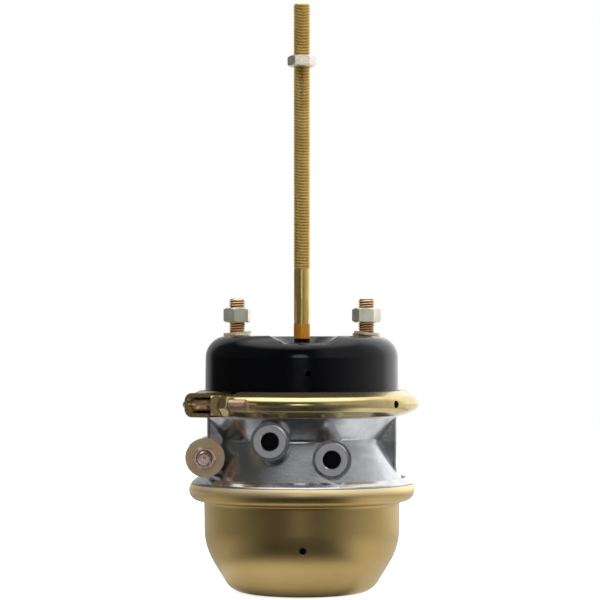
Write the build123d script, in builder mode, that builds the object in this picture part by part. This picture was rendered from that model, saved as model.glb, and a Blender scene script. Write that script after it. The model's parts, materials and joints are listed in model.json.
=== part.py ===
"""Spring brake chamber: a service air chamber stacked on a spring-applied parking chamber.

Millimetres. The origin is the centre of the base, on the push rod's axis. +Z runs up the push rod,
-Y faces the two air ports, and -X is the side with the release bolt's pocket.
Shown with the air let out: the power spring holds the push rod at the top of its stroke.
"""

import math
import os

from build123d import *

os.makedirs("parts", exist_ok=True)

# ---- the sizes that the rest follow -------------------------------------------------------------
CUP_R = 91.15  # spring housing's wall, just under its rim
HOUSING_R = 90.2  # black housing's wall, just above the clamp ring
STUD_SPACING = 120.65  # 4 3/4 in
RIM_LOW_Z = 84.4  # underside of the spring housing's rolled rim

# ---- clearances ---------------------------------------------------------------------------------
RUN = 0.06  # radial running clearance of a sliding rod in its bush
LOOSE = 0.3  # gap between curved faces of neighbouring pieces
FACE_GAP = 0.05  # gap between flat faces that bear on each other

# ---- spring housing (pressed steel cup) ---------------------------------------------------------
SHEET = 2.8
BASE_DISH_R = 25.0
BASE_DISH_H = 5.0
BASE_RING_R = 31.0
CUP_TURN_R = CUP_R - 0.45  # the wall has a slight draft
CUP_TURN_Z = RIM_LOW_Z - 42.7
CUP_TURN_FILLET = 60.0
CONE_RUN = 0.607  # how far the lower cone widens for each millimetre of rise
BASE_EDGE_R = CUP_TURN_R - CONE_RUN * CUP_TURN_Z
BASE_EDGE_FILLET = 20.5
ROLL_R = 10.2  # outside of the rim's roll
ROLL_X = CUP_R + 3.85
ROLL_END_ANGLE = 34.0  # above the roll's equator, where the sheet ends
RIM_MID_Z = RIM_LOW_Z + ROLL_R
RIM_TURN_R = 3.0
VENT_R = 3.05
VENT_Z = 45.0
PLUG_HOLE_R = 13.0

# ---- flange case (die casting between the chambers) ---------------------------------------------
SEAT_R = ROLL_R - SHEET - LOOSE - FACE_GAP
SEAT_DROP = 1.2  # how far the flange reaches below the roll's centre
SEAT_END_ANGLE = 36.0
STEP_ANGLE = 37.5
# outline of the flange's bead, as (radius, height) from the roll's centre
BEAD_OUTLINE = ((7.3, 7.6), (4.9, 9.8), (1.8, 12.1), (0.3, 11.0), (-0.1, 8.0))
BEAD_FILLETS = (0.8, 1.5, 0.8, 0.4, 0.3)
CASE_LOW_Z = RIM_MID_Z - SEAT_DROP
CONE_LOW_R = ROLL_X - 0.9
CONE_LOW_Z = RIM_MID_Z + 8.0
WEB_LOW_Z = CONE_LOW_Z + 15.4
WEB_TOP_Z = WEB_LOW_Z + 11.0
WAIST_R = HOUSING_R - 13.2
WAIST_Z = WEB_TOP_Z + 13.0
WAIST_FILLET = 5.0
CASE_WALL = 5.5
SIDE_BLOCK_X = HOUSING_R - 2.8
SIDE_BLOCK_W = 30.0
SIDE_BLOCK_FRONT = 26.0
SIDE_BLOCK_REAR = 44.0
SIDE_BLOCK_LOW_Z = CONE_LOW_Z + 3.4
BUSH_R = 18.0
PORT_BORE_R = 7.75
PORT_FACE_R = 14.7
PORT_COLLAR_R = 17.6
PORT_STEP = 4.5  # how far the face stands proud of its collar
PORT_DEPTH = 16.0
PORT_YAW = 6.0
SERVICE_PORT = (-29.0, 1.7 - HOUSING_R, WAIST_Z + 0.4)
PARKING_PORT = (26.2, -0.35 - CUP_R, WEB_LOW_Z + 8.4)

# ---- clamp ring (V band in two halves) ----------------------------------------------------------
CLAMP_Z = WAIST_Z + 33.2
CLAMP_SHEET = 2.6
CLAMP_HALF_H = 11.4
CLAMP_LIP_R = HOUSING_R + 1.4
CLAMP_LIP_W = 3.2
CLAMP_LIP_FILLET = 3.0
BAND_TIP_R = HOUSING_R + 30.5  # where the two flanks would meet
BAND_FILLET = 7.9
BAND_BEND_R = CLAMP_LIP_R + CLAMP_LIP_W
FLANK = CLAMP_HALF_H / (BAND_TIP_R - BAND_BEND_R)
FLANK_ANGLE = math.atan(FLANK)
CLAMP_R = BAND_TIP_R - BAND_FILLET / math.sin(FLANK_ANGLE) + BAND_FILLET
FLANGE_R = CLAMP_R - 7.0
BEAD_T = 5.0
LUG_ANGLE = 60.0  # from -X towards -Y, where the clamp bolt is tangent
BOLT_LINE_R = CLAMP_R + 10.0
CLAMP_BOLT_R = 5.56  # 7/16 in
CLAMP_HOLE_R = 6.2
LUG_OUTSIDE = 12.0  # how far lug and ear stand out from the bolt's line
LUG_HALF_H = 10.8
LUG_WALL = 3.6
LUG_CORNER = 7.5
LUG_BACK_S = -45.3  # the lug's closed end, along the bolt from its foot
LUG_MOUTH_S = -20.0
EAR_FACE_S = -11.8
EAR_T = 2.8
EAR_HALF_H = 9.0
EAR_CORNER = 4.0
EAR_BEND = 5.5  # out from the bolt's line, where the ear turns back
EAR_FLARE = 5.5
WITNESS_HOLE_R = 3.5
WITNESS_ANGLE = -38.5
BOLT_HEAD_R = 8.0
BOLT_HEAD_T = 2.4
BOLT_NIB_R = 2.6
BOLT_NIB_T = 8.4
BOLT_END_S = 12.2
CLAMP_NUT_AF = 17.46
CLAMP_NUT_T = 8.2
CLAMP_NUT_TURN = 15.0

# ---- non-pressure housing (black cup that carries the studs) ------------------------------------
HOUSING_TOP_R = HOUSING_R - 0.6
HOUSING_TOP_Z = CLAMP_Z + 62.0
HOUSING_SHEET = 3.0
SHOULDER = HOUSING_TOP_R - STUD_SPACING / 2.0 - 9.3
RELIEF_DEPTH = 7.3
RELIEF_FLOOR_Z = HOUSING_TOP_Z - RELIEF_DEPTH
RELIEF_HALF_FLOOR = 19.0
RELIEF_SLOPE = 1.67  # how far each side of the relief opens for each millimetre of rise
RELIEF_FILLET = 6.0
RELIEF_RIM_FILLET = 5.0
RELIEF_YAW = 2.2
ROD_HOLE_R = 12.0
DRAIN_R = 2.6
DRAIN_Z = CLAMP_Z + 28.0
DRAIN_ANGLE = 3.6

# ---- studs and their hardware -------------------------------------------------------------------
STUD_R = 7.92  # 5/8 in, free end above the nut
STUD_NECK_R = 7.19  # pitch radius of the stretch that the washer and nut ride on
STUD_TIP_Z = HOUSING_TOP_Z + 34.8
STUD_FREE_Z = HOUSING_TOP_Z + 27.0
STUD_TIP_CHAMFER = 1.6
STUD_HEAD_R = 11.0
STUD_HEAD_T = 6.0
NUT_AF = 23.4
STUD_NUT_Z = HOUSING_TOP_Z + 12.8
STUD_NUT_T = 13.4
STUD_NUT_TURNS = (19.0, -2.0)
WASHER_IN_R = 8.4
WASHER_OUT_R = 13.0
WASHER_T = 2.6
WASHER_RISE = 2.2
WASHER_REACH = 0.955  # how much of a turn the washer's coil covers
WASHER_LEAN = 3.4  # each washer leans until it rests on its low end and the side opposite
WASHER_LEAN_AXIS = -117.4
WASHER_TURNS = (-16.0, 189.0)

# ---- push rod -----------------------------------------------------------------------------------
ROD_R = 7.94  # 5/8 in
ROD_PITCH_R = 7.48  # threaded stretch, at its pitch diameter
SHANK_R = 7.45
BAND_LOW_Z = HOUSING_TOP_Z - 2.3
BAND_TOP_Z = BAND_LOW_Z + 13.3
BAND_R = 7.6
BAND_SEAT_R = 7.2
COLLAR_STEP = 0.15
COLLAR_H = 1.7
GROOVE_DEPTH = 0.5
GROOVE_H = 1.0
THREAD_LOW_Z = BAND_TOP_Z + 51.2
ROD_TIP_Z = THREAD_LOW_Z + 248.6
ROD_TIP_CHAMFER = 1.2
FREE_END_Z = ROD_TIP_Z - 47.0
JAM_NUT_Z = ROD_TIP_Z - 58.8
JAM_NUT_T = 10.5
JAM_NUT_TURN = 2.0
GUIDE_R = 8.1
WELD_LEG = 3.0
PUSH_PLATE_R = HOUSING_R - 28.2
PUSH_PLATE_Z = RELIEF_FLOOR_Z - 28.9
PUSH_PLATE_T = 4.0
PLATE_RIM_W = 6.0
PLATE_RIM_RISE = 5.0
PLATE_LIP_W = 2.5
PLATE_LIP_RISE = 7.0

# ---- diaphragms ---------------------------------------------------------------------------------
RUBBER = 3.2
DISC_R = HOUSING_R - 26.2
PARK_DISC_R = CUP_R - 21.0
PARK_BEAD_T = 6.0
PARK_BEAD_OUT = 4.0  # how far the bead reaches past the roll's centre

# ---- parking piston -----------------------------------------------------------------------------
ADAPTER_R = 14.3
PAD_R = 24.0
PAD_T = 4.0
ADAPTER_PLATE_R = CUP_R - 25.0
ADAPTER_PLATE_T = 5.0
PRESSURE_PLATE_R = CUP_R - 23.0
PRESSURE_PLATE_T = 6.5
PRESSURE_SKIRT = 6.0
HUB_R = 24.0
HUB_DROP = 20.0
KEY_BORE_R = 9.0

# ---- springs ------------------------------------------------------------------------------------
POWER_WIRE_R = 6.0
POWER_TURNS = 3.5
POWER_END_R = CUP_R - 38.15
POWER_MID_R = CUP_R - 17.15
RETURN_WIRE_R = 2.2
RETURN_TURNS = 3.0
RETURN_LOW_R = PUSH_PLATE_R - 18.0
RETURN_TOP_R = 19.0
ARCS_PER_TURN = 8

# ---- release bolt stored in its pocket ----------------------------------------------------------
RELEASE_X = 2.2 - HOUSING_R
RELEASE_Z = WEB_LOW_Z + 8.6
RELEASE_R = 6.35  # 1/2 in
POCKET_FRONT_Y = -52.0
POCKET_REAR_Y = 56.0
POCKET_R = 15.5
POCKET_BORE_R = 6.95
TEE_HALF = 11.5
TEE_T = 9.0
TEE_W = 11.0
TEE_PLAY = 1.0
RELEASE_WASHER_R = 18.0
RELEASE_WASHER_T = 2.8
RELEASE_NUT_AF = 19.05
RELEASE_NUT_T = 10.9
RELEASE_END_Y = -71.0
RELEASE_TAIL_Y = 84.0


def finish(block, name):
    """Label a finished piece and write it to its own STEP file."""
    block.part.label = name
    export_step(block.part, "parts/" + name + ".step")
    print(name, round(block.part.volume / 1000.0, 2), "cm3")


def hex_nut(across_flats, thickness, bore_r, corner=0.93):
    """A hex nut on +Z from z = 0, with both faces turned down at 30 degrees."""
    corner_r = across_flats / math.sqrt(3.0)
    face_r = across_flats / 2.0 * corner
    drop = (corner_r - face_r) * math.tan(math.radians(30.0))
    with BuildPart() as nut:
        with BuildSketch():
            RegularPolygon(across_flats / 2.0, 6, major_radius=False)
        extrude(amount=thickness)
        with BuildSketch(Plane.XZ):
            with BuildLine():
                Polyline(
                    (0, 0),
                    (face_r, 0),
                    (corner_r, drop),
                    (corner_r, thickness - drop),
                    (face_r, thickness),
                    (0, thickness),
                    close=True,
                )
            make_face()
        revolve(axis=Axis.Z, mode=Mode.INTERSECT)
        with BuildSketch():
            Circle(bore_r)
        extrude(amount=thickness, mode=Mode.SUBTRACT)
        chamfer(nut.edges().filter_by(GeomType.CIRCLE).group_by(SortBy.RADIUS)[0], 0.9)
    return nut.part


# =================================================================================================
# Spring housing: one pressed shell, dished at the release hole, its rim rolled over the casting
# =================================================================================================
with BuildPart() as spring_housing:
    with BuildSketch(Plane.XZ):
        with BuildLine():
            FilletPolyline(
                (PLUG_HOLE_R, BASE_DISH_H),
                (BASE_DISH_R, BASE_DISH_H),
                (BASE_RING_R, 0),
                (BASE_EDGE_R, 0),
                (CUP_TURN_R, CUP_TURN_Z),
                (CUP_R, RIM_LOW_Z),
                (ROLL_X, RIM_LOW_Z),
                radius=[3.5, 6.0, BASE_EDGE_FILLET, CUP_TURN_FILLET, RIM_TURN_R],
            )
            CenterArc((ROLL_X, RIM_MID_Z), ROLL_R, -90.0, 90.0 + ROLL_END_ANGLE)
            offset(amount=SHEET, side=Side.LEFT)
        make_face()
    revolve(axis=Axis.Z)
    with BuildSketch(Plane.XZ):
        with Locations((0.7, VENT_Z)):
            Circle(VENT_R)
    extrude(amount=CUP_R + SHEET, mode=Mode.SUBTRACT)
finish(spring_housing, "spring_housing")

# Dust plug in the release hole
with BuildPart() as dust_plug:
    plug_low = BASE_DISH_H - LOOSE
    plug_top = BASE_DISH_H + SHEET + LOOSE
    with BuildSketch(Plane.XZ):
        with BuildLine():
            Polyline(
                (0, plug_low - 2.4),
                (PLUG_HOLE_R + 2.0, plug_low - 2.4),
                (PLUG_HOLE_R + 3.5, plug_low),
                (PLUG_HOLE_R - LOOSE, plug_low),
                (PLUG_HOLE_R - LOOSE, plug_top),
                (PLUG_HOLE_R + 1.4, plug_top),
                (PLUG_HOLE_R - 1.5, plug_top + 3.0),
                (PLUG_HOLE_R - 5.0, plug_top + 3.0),
                (PLUG_HOLE_R - 5.0, plug_low + 1.0),
                (0, plug_low + 1.0),
                close=True,
            )
        make_face()
    revolve(axis=Axis.Z)
finish(dust_plug, "dust_plug")

# =================================================================================================
# Flange case: web between the two chambers, waisted wall, side blocks, bolt pocket and ports
# =================================================================================================
CASE_TOP_Z = CLAMP_Z - BEAD_T / 2.0
BEAD_TOP_Z = CLAMP_Z + BEAD_T / 2.0
CASE_NECK_R = CLAMP_LIP_R - 1.5
CAVITY_R = WAIST_R - CASE_WALL
SERVICE_R = CLAMP_LIP_R - CASE_WALL
PARK_R = CONE_LOW_R - CASE_WALL
FLANK_IN = CLAMP_SHEET / math.cos(FLANK_ANGLE) + LOOSE


def flank_height(radius):
    """Half height of the space inside the clamp band at a radius, less the working gap."""
    return (BAND_TIP_R - max(radius, BAND_BEND_R)) * FLANK - FLANK_IN


def on_roll(radius, angle):
    """A point about the centre of the rim's roll."""
    turn = math.radians(angle)
    return (ROLL_X + radius * math.cos(turn), RIM_MID_Z + radius * math.sin(turn))


def port_plane(spot):
    """A plane on a port's face, its normal pointing out of the port."""
    yaw = math.radians(PORT_YAW)
    return Plane(origin=spot, x_dir=(0, 0, 1), z_dir=(-math.sin(yaw), -math.cos(yaw), 0))


seat_start = -math.degrees(math.asin(SEAT_DROP / SEAT_R))
bead_points = [(ROLL_X + out, RIM_MID_Z + up) for out, up in BEAD_OUTLINE]

with BuildPart() as flange_case:
    with BuildSketch(Plane.XZ):
        with BuildLine():
            Line((0, CASE_LOW_Z), on_roll(SEAT_R, seat_start))
            CenterArc((ROLL_X, RIM_MID_Z), SEAT_R, seat_start, SEAT_END_ANGLE - seat_start)
            FilletPolyline(
                on_roll(SEAT_R, SEAT_END_ANGLE),
                on_roll(ROLL_R, STEP_ANGLE),
                *bead_points,
                (CONE_LOW_R, CONE_LOW_Z),
                (WAIST_R, WAIST_Z),
                (CASE_NECK_R, CLAMP_Z - CLAMP_HALF_H - 1.2),
                (CASE_NECK_R, CLAMP_Z - flank_height(CASE_NECK_R)),
                (BAND_BEND_R, CLAMP_Z - flank_height(BAND_BEND_R)),
                (FLANGE_R, CLAMP_Z - flank_height(FLANGE_R)),
                (FLANGE_R, CASE_TOP_Z),
                (0, CASE_TOP_Z),
                radius=[0.3, *BEAD_FILLETS, 0.3, WAIST_FILLET, 2.0, 0.5, 0.4, 0.4, 0.2],
            )
            Line((0, CASE_TOP_Z), (0, CASE_LOW_Z))
        make_face()
    revolve(axis=Axis.Z)
    # side blocks
    with BuildSketch(Plane.XY.offset(SIDE_BLOCK_LOW_Z)):
        for side in (-1, 1):
            with Locations(
                (side * (SIDE_BLOCK_X - SIDE_BLOCK_W / 2.0), (SIDE_BLOCK_REAR - SIDE_BLOCK_FRONT) / 2.0)
            ):
                RectangleRounded(SIDE_BLOCK_W, SIDE_BLOCK_FRONT + SIDE_BLOCK_REAR, 3.0)
    extrude(amount=CLAMP_Z - CLAMP_HALF_H - 0.4 - SIDE_BLOCK_LOW_Z)
    # pocket for the release bolt
    with BuildSketch(Plane.XZ.offset(-POCKET_REAR_Y)):
        with Locations((RELEASE_X, RELEASE_Z)):
            Circle(POCKET_R)
    extrude(amount=POCKET_REAR_Y - POCKET_FRONT_Y)
    # port bosses
    for spot in (SERVICE_PORT, PARKING_PORT):
        with BuildSketch(port_plane(spot)):
            Circle(PORT_FACE_R)
        extrude(amount=-30.0)
        with BuildSketch(port_plane(spot).offset(-PORT_STEP)):
            Circle(PORT_COLLAR_R)
        extrude(amount=-25.0)
    # service cavity above the web
    with BuildSketch(Plane.XZ):
        with BuildLine():
            Polyline(
                (0, WEB_TOP_Z),
                (CAVITY_R - 4.0, WEB_TOP_Z),
                (CAVITY_R, WEB_TOP_Z + 4.0),
                (CAVITY_R, WAIST_Z + 2.0),
                (SERVICE_R - 1.0, CLAMP_Z - CLAMP_HALF_H),
                (SERVICE_R, CASE_TOP_Z),
                (0, CASE_TOP_Z),
                close=True,
            )
        make_face()
    revolve(axis=Axis.Z, mode=Mode.SUBTRACT)
    # parking cavity below the web
    with BuildSketch(Plane.XZ):
        with BuildLine():
            Polyline(
                (0, CASE_LOW_Z),
                (PARK_R, CASE_LOW_Z),
                (PARK_R, CONE_LOW_Z),
                (PARK_R - 6.0, WEB_LOW_Z - 1.5),
                (PARK_R - 7.5, WEB_LOW_Z),
                (0, WEB_LOW_Z),
                close=True,
            )
        make_face()
    revolve(axis=Axis.Z, mode=Mode.SUBTRACT)
    # rod bore and its stepped seat
    with BuildSketch(Plane.XY.offset(WEB_LOW_Z)):
        Circle(BUSH_R)
    extrude(amount=WEB_TOP_Z - WEB_LOW_Z, mode=Mode.SUBTRACT)
    # pocket bore with the slot that lets the T end through
    with BuildSketch(Plane.XZ.offset(-POCKET_REAR_Y)):
        with Locations((RELEASE_X, RELEASE_Z)):
            Circle(POCKET_BORE_R)
            Rectangle(TEE_T + 2.0 * TEE_PLAY, 2.0 * (TEE_HALF + TEE_PLAY))
    extrude(amount=POCKET_REAR_Y - POCKET_FRONT_Y, mode=Mode.SUBTRACT)
    # ports: tapped bore, mouth chamfer and air passage
    for spot in (SERVICE_PORT, PARKING_PORT):
        with BuildSketch(port_plane(spot)):
            Circle(PORT_BORE_R)
        extrude(amount=-PORT_DEPTH, mode=Mode.SUBTRACT)
        with BuildSketch(port_plane(spot)):
            Circle(PORT_BORE_R + 1.3)
        extrude(amount=-1.3, taper=45.0, mode=Mode.SUBTRACT)
    with BuildSketch(port_plane(SERVICE_PORT).offset(-PORT_DEPTH + 1.0)):
        Circle(3.5)
    extrude(amount=-14.0, mode=Mode.SUBTRACT)
    with BuildSketch(Plane.XY.offset(PARKING_PORT[2])):
        with Locations((PARKING_PORT[0] + 1.2, PARKING_PORT[1] + PORT_DEPTH - 3.5)):
            Circle(3.0)
    extrude(amount=-(PARKING_PORT[2] - WEB_LOW_Z + 3.0), mode=Mode.SUBTRACT)
finish(flange_case, "flange_case")

# Bush, seals and retaining ring in the web's bore
BUSH_IN_R = ADAPTER_R + RUN
SEAL_DEPTH = 2.6
SEAL_H = 2.4
BUSH_LOW_Z = WEB_LOW_Z + 0.4
BUSH_TOP_Z = WEB_TOP_Z - 1.6
SEAL_ZS = (BUSH_LOW_Z + 1.8, BUSH_TOP_Z - 1.8 - SEAL_H)
with BuildPart() as center_bushing:
    with BuildSketch(Plane.XY.offset(BUSH_LOW_Z)):
        Circle(BUSH_R - FACE_GAP)
        Circle(BUSH_IN_R, mode=Mode.SUBTRACT)
    extrude(amount=BUSH_TOP_Z - BUSH_LOW_Z)
    for z in SEAL_ZS:
        with BuildSketch(Plane.XY.offset(z)):
            Circle(BUSH_IN_R + SEAL_DEPTH)
        extrude(amount=SEAL_H, mode=Mode.SUBTRACT)
finish(center_bushing, "center_bushing")

with BuildPart() as rod_seals:
    for z in SEAL_ZS:
        with BuildSketch(Plane.XZ):
            with Locations(((BUSH_IN_R + 0.05 + BUSH_IN_R + SEAL_DEPTH - 0.1) / 2.0, z + SEAL_H / 2.0)):
                RectangleRounded(SEAL_DEPTH - 0.15, SEAL_H - 0.1, 0.9)
        revolve(axis=Axis.Z)
finish(rod_seals, "rod_seals")

with BuildPart() as bushing_ring:
    with BuildSketch(Plane.XY.offset(BUSH_TOP_Z)):
        Circle(BUSH_R - 0.1)
        Circle(ADAPTER_R + 1.0, mode=Mode.SUBTRACT)
        with Locations((0, BUSH_R - 1.5)):
            Rectangle(5.0, 6.0, mode=Mode.SUBTRACT)
    extrude(amount=1.5)
finish(bushing_ring, "bushing_ring")

# =================================================================================================
# Non-pressure housing: deep-drawn cup with a relief open to the front, around the rod hole
# =================================================================================================
RELIEF_REACH = 130.0
RELIEF_RISE = 20.0


def relief_tool(floor_z, half_floor, fillet_r):
    """The tapered pocket that is pressed into the top, as a solid to take away."""
    with BuildPart() as tool:
        for rise in (0.0, RELIEF_RISE):
            half = half_floor + rise * RELIEF_SLOPE
            with BuildSketch(Plane.XY.offset(floor_z + rise)):
                Circle(half)
                with Locations((0, -RELIEF_REACH / 2.0)):
                    Rectangle(2.0 * half, RELIEF_REACH)
        loft()
        fillet(tool.faces().sort_by(Axis.Z)[0].edges(), fillet_r)
    return tool.part.rotate(Axis.Z, RELIEF_YAW)


def cup(top_z, wall_r, top_r, corner_r, low_z):
    """A filled cup, mouth down, turned about the push rod's axis."""
    with BuildPart() as solid:
        with BuildSketch(Plane.XZ):
            with BuildLine():
                FilletPolyline(
                    (0, top_z),
                    (top_r, top_z),
                    (wall_r, low_z),
                    (0, low_z),
                    radius=[corner_r, 0.2],
                )
                Line((0, low_z), (0, top_z))
            make_face()
        revolve(axis=Axis.Z)
    return solid.part


relief_outside = relief_tool(RELIEF_FLOOR_Z, RELIEF_HALF_FLOOR, RELIEF_FILLET)
relief_inside = relief_tool(
    RELIEF_FLOOR_Z - HOUSING_SHEET,
    RELIEF_HALF_FLOOR + HOUSING_SHEET * 0.55,
    RELIEF_FILLET + HOUSING_SHEET,
)
cup_inside = (
    cup(
        HOUSING_TOP_Z - HOUSING_SHEET,
        HOUSING_R - HOUSING_SHEET,
        HOUSING_TOP_R - HOUSING_SHEET,
        SHOULDER - HOUSING_SHEET,
        BEAD_TOP_Z - 1.0,
    )
    - relief_inside
)
FLANGE_UP = flank_height(BAND_BEND_R)
plain_cup = cup(HOUSING_TOP_Z, HOUSING_R, HOUSING_TOP_R, SHOULDER, BEAD_TOP_Z)


def on_both(edge):
    """Whether an edge runs where the relief cuts the cup's outside."""
    middle = edge @ 0.5
    return all(solid.shell().distance_to(middle) < 0.01 for solid in (plain_cup, relief_outside))


with BuildPart() as non_pressure_housing:
    add(plain_cup)
    add(relief_outside, mode=Mode.SUBTRACT)
    fillet([edge for edge in non_pressure_housing.edges() if on_both(edge)], RELIEF_RIM_FILLET)
    # flared flange that the clamp band grips
    with BuildSketch(Plane.XZ):
        with BuildLine():
            Polyline(
                (HOUSING_R - 4.0, BEAD_TOP_Z),
                (FLANGE_R, BEAD_TOP_Z),
                (FLANGE_R, CLAMP_Z + flank_height(FLANGE_R)),
                (BAND_BEND_R, CLAMP_Z + FLANGE_UP),
                (HOUSING_R - 4.0, CLAMP_Z + FLANGE_UP),
                close=True,
            )
        make_face()
    revolve(axis=Axis.Z)
    add(cup_inside, mode=Mode.SUBTRACT)
    # rod hole and stud holes
    with BuildSketch(Plane.XY.offset(RELIEF_FLOOR_Z - HOUSING_SHEET - 1.0)):
        Circle(ROD_HOLE_R)
    extrude(amount=HOUSING_SHEET + 2.0, mode=Mode.SUBTRACT)
    with BuildSketch(Plane.XY.offset(HOUSING_TOP_Z - HOUSING_SHEET - 1.0)):
        for side in (-1, 1):
            with Locations((side * STUD_SPACING / 2.0, 0)):
                Circle(STUD_R + LOOSE)
    extrude(amount=HOUSING_SHEET + 2.0, mode=Mode.SUBTRACT)
    # drain holes round the wall
    for turn in range(4):
        angle = math.radians(-90.0 + DRAIN_ANGLE + 90.0 * turn)
        with BuildSketch(
            Plane(
                origin=(0, 0, DRAIN_Z),
                x_dir=(0, 0, 1),
                z_dir=(math.cos(angle), math.sin(angle), 0),
            )
        ):
            Circle(DRAIN_R)
        extrude(amount=HOUSING_R + 5.0, mode=Mode.SUBTRACT)
finish(non_pressure_housing, "non_pressure_housing")

# Dust guide in the rod hole: a ring with a lip on each side of the sheet
with BuildPart() as rod_guide:
    guide_low = RELIEF_FLOOR_Z - HOUSING_SHEET
    with BuildSketch(Plane.XZ):
        with BuildLine():
            Polyline(
                (GUIDE_R, guide_low - 1.0),
                (ROD_HOLE_R + 1.5, guide_low - 1.0),
                (ROD_HOLE_R + 1.5, guide_low - FACE_GAP),
                (ROD_HOLE_R - LOOSE, guide_low - FACE_GAP),
                (ROD_HOLE_R - LOOSE, RELIEF_FLOOR_Z + FACE_GAP),
                (ROD_HOLE_R + 1.0, RELIEF_FLOOR_Z + FACE_GAP),
                (ROD_HOLE_R, RELIEF_FLOOR_Z + 1.0),
                (GUIDE_R, RELIEF_FLOOR_Z + 1.0),
                close=True,
            )
        make_face()
    revolve(axis=Axis.Z)
finish(rod_guide, "rod_guide")

# =================================================================================================
# Clamp ring: two identical V-band halves, each with a folded lug at one end and an ear at the other
# =================================================================================================
lug_turn = math.radians(LUG_ANGLE)
LUG_OUT = (-math.cos(lug_turn), -math.sin(lug_turn), 0)
LUG_ALONG = (math.sin(lug_turn), -math.cos(lug_turn), 0)
LUG_REACH_IN = -36.0  # where lug and ear start, well inside the band's outline


def lug_spot(along=0.0, out=0.0, up=0.0):
    """A point placed from the foot of the clamp bolt's line."""
    return (
        (BOLT_LINE_R + out) * LUG_OUT[0] + along * LUG_ALONG[0],
        (BOLT_LINE_R + out) * LUG_OUT[1] + along * LUG_ALONG[1],
        CLAMP_Z + up,
    )


def square_plane(along):
    """A plane square to the clamp bolt, its x pointing out of the ring."""
    return Plane(origin=lug_spot(along), x_dir=LUG_OUT, z_dir=LUG_ALONG)


def band_angle(along):
    """The angle about +Z of the band's outer wall at a place along the clamp bolt."""
    return 180.0 + LUG_ANGLE + math.degrees(math.asin(along / (CLAMP_R - CLAMP_SHEET)))


def band_points(inset):
    """The clamp band's section moved inwards by an inset, lower lip first."""
    half = CLAMP_HALF_H - inset
    tip = BAND_TIP_R - inset / math.sin(FLANK_ANGLE)
    bend = tip - half / FLANK
    return (
        (CLAMP_LIP_R, CLAMP_Z - half),
        (bend, CLAMP_Z - half),
        (tip, CLAMP_Z),
        (bend, CLAMP_Z + half),
        (CLAMP_LIP_R, CLAMP_Z + half),
    )


BAND_START = band_angle(EAR_FACE_S - EAR_T / 2.0)
BAND_STOP = band_angle(LUG_BACK_S + LUG_WALL / 2.0) + 180.0

# everything inside the middle of the band's sheet, which lug and ear must not enter
with BuildPart() as band_inside:
    half_sheet = CLAMP_SHEET / 2.0
    inside_points = band_points(half_sheet)
    with BuildSketch(Plane.XZ):
        with BuildLine():
            FilletPolyline(
                (0, CLAMP_Z - CLAMP_HALF_H),
                (CLAMP_LIP_R, CLAMP_Z - CLAMP_HALF_H),
                *inside_points[1:4],
                (CLAMP_LIP_R, CLAMP_Z + CLAMP_HALF_H),
                (0, CLAMP_Z + CLAMP_HALF_H),
                radius=[0.2, 0.2, BAND_FILLET - half_sheet, 0.2, 0.2],
            )
            Line((0, CLAMP_Z + CLAMP_HALF_H), (0, CLAMP_Z - CLAMP_HALF_H))
        make_face()
    revolve(axis=Axis.Z)

# the folded lug: one strip bent round the bolt's head end, open towards the ear
with BuildPart() as lug:
    with BuildSketch(Plane(origin=lug_spot(out=LUG_REACH_IN), x_dir=LUG_ALONG, z_dir=LUG_OUT)):
        with BuildLine():
            FilletPolyline(
                (LUG_MOUTH_S, -LUG_HALF_H),
                (LUG_BACK_S, -LUG_HALF_H),
                (LUG_BACK_S, LUG_HALF_H),
                (LUG_MOUTH_S, LUG_HALF_H),
                radius=[LUG_CORNER, LUG_CORNER],
            )
            offset(amount=LUG_WALL, side=Side.RIGHT)
        make_face()
    extrude(amount=LUG_OUTSIDE - LUG_REACH_IN)
    add(band_inside.part, mode=Mode.SUBTRACT)
    with BuildSketch(square_plane(LUG_BACK_S - 1.0)):
        Circle(CLAMP_HOLE_R)
    extrude(amount=LUG_WALL + 2.0, mode=Mode.SUBTRACT)

# the ear: a plate square to the bolt, its outer end turned back towards the lug
with BuildPart() as ear:
    with BuildSketch(Plane(origin=lug_spot(up=EAR_HALF_H), x_dir=LUG_ALONG, z_dir=(0, 0, -1))):
        with BuildLine():
            FilletPolyline(
                (EAR_FACE_S, LUG_REACH_IN),
                (EAR_FACE_S, EAR_BEND),
                (EAR_FACE_S - EAR_FLARE, LUG_OUTSIDE),
                radius=[4.0],
            )
            offset(amount=EAR_T, side=Side.LEFT)
        make_face()
    extrude(amount=2.0 * EAR_HALF_H)
    with BuildSketch(square_plane(LUG_BACK_S)):
        with Locations(((LUG_OUTSIDE + LUG_REACH_IN) / 2.0, 0)):
            RectangleRounded(LUG_OUTSIDE - LUG_REACH_IN, 2.0 * EAR_HALF_H, EAR_CORNER)
    extrude(amount=-LUG_BACK_S, mode=Mode.INTERSECT)
    add(band_inside.part, mode=Mode.SUBTRACT)
    with BuildSketch(square_plane(EAR_FACE_S + 1.0)):
        Circle(CLAMP_HOLE_R)
    extrude(amount=-3.0 * EAR_T, mode=Mode.SUBTRACT)

with BuildPart() as clamp_half:
    with BuildSketch(Plane.XZ.rotated((0, 0, BAND_START))):
        with BuildLine():
            FilletPolyline(*band_points(0.0), radius=[CLAMP_LIP_FILLET, BAND_FILLET, CLAMP_LIP_FILLET])
            offset(amount=CLAMP_SHEET, side=Side.LEFT)
        make_face()
    revolve(axis=Axis.Z, revolution_arc=BAND_STOP - BAND_START)
    add(ear.part)
    # this half's lug is at its far end, half a turn on from the lug that its ear meets
    add(lug.part.rotate(Axis.Z, 180.0))
    witness = math.radians(WITNESS_ANGLE)
    with BuildSketch(
        Plane(origin=(0, 0, CLAMP_Z), x_dir=(0, 0, 1), z_dir=(math.cos(witness), math.sin(witness), 0))
    ):
        Circle(WITNESS_HOLE_R)
    extrude(amount=CLAMP_R + 5.0, mode=Mode.SUBTRACT)

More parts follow.
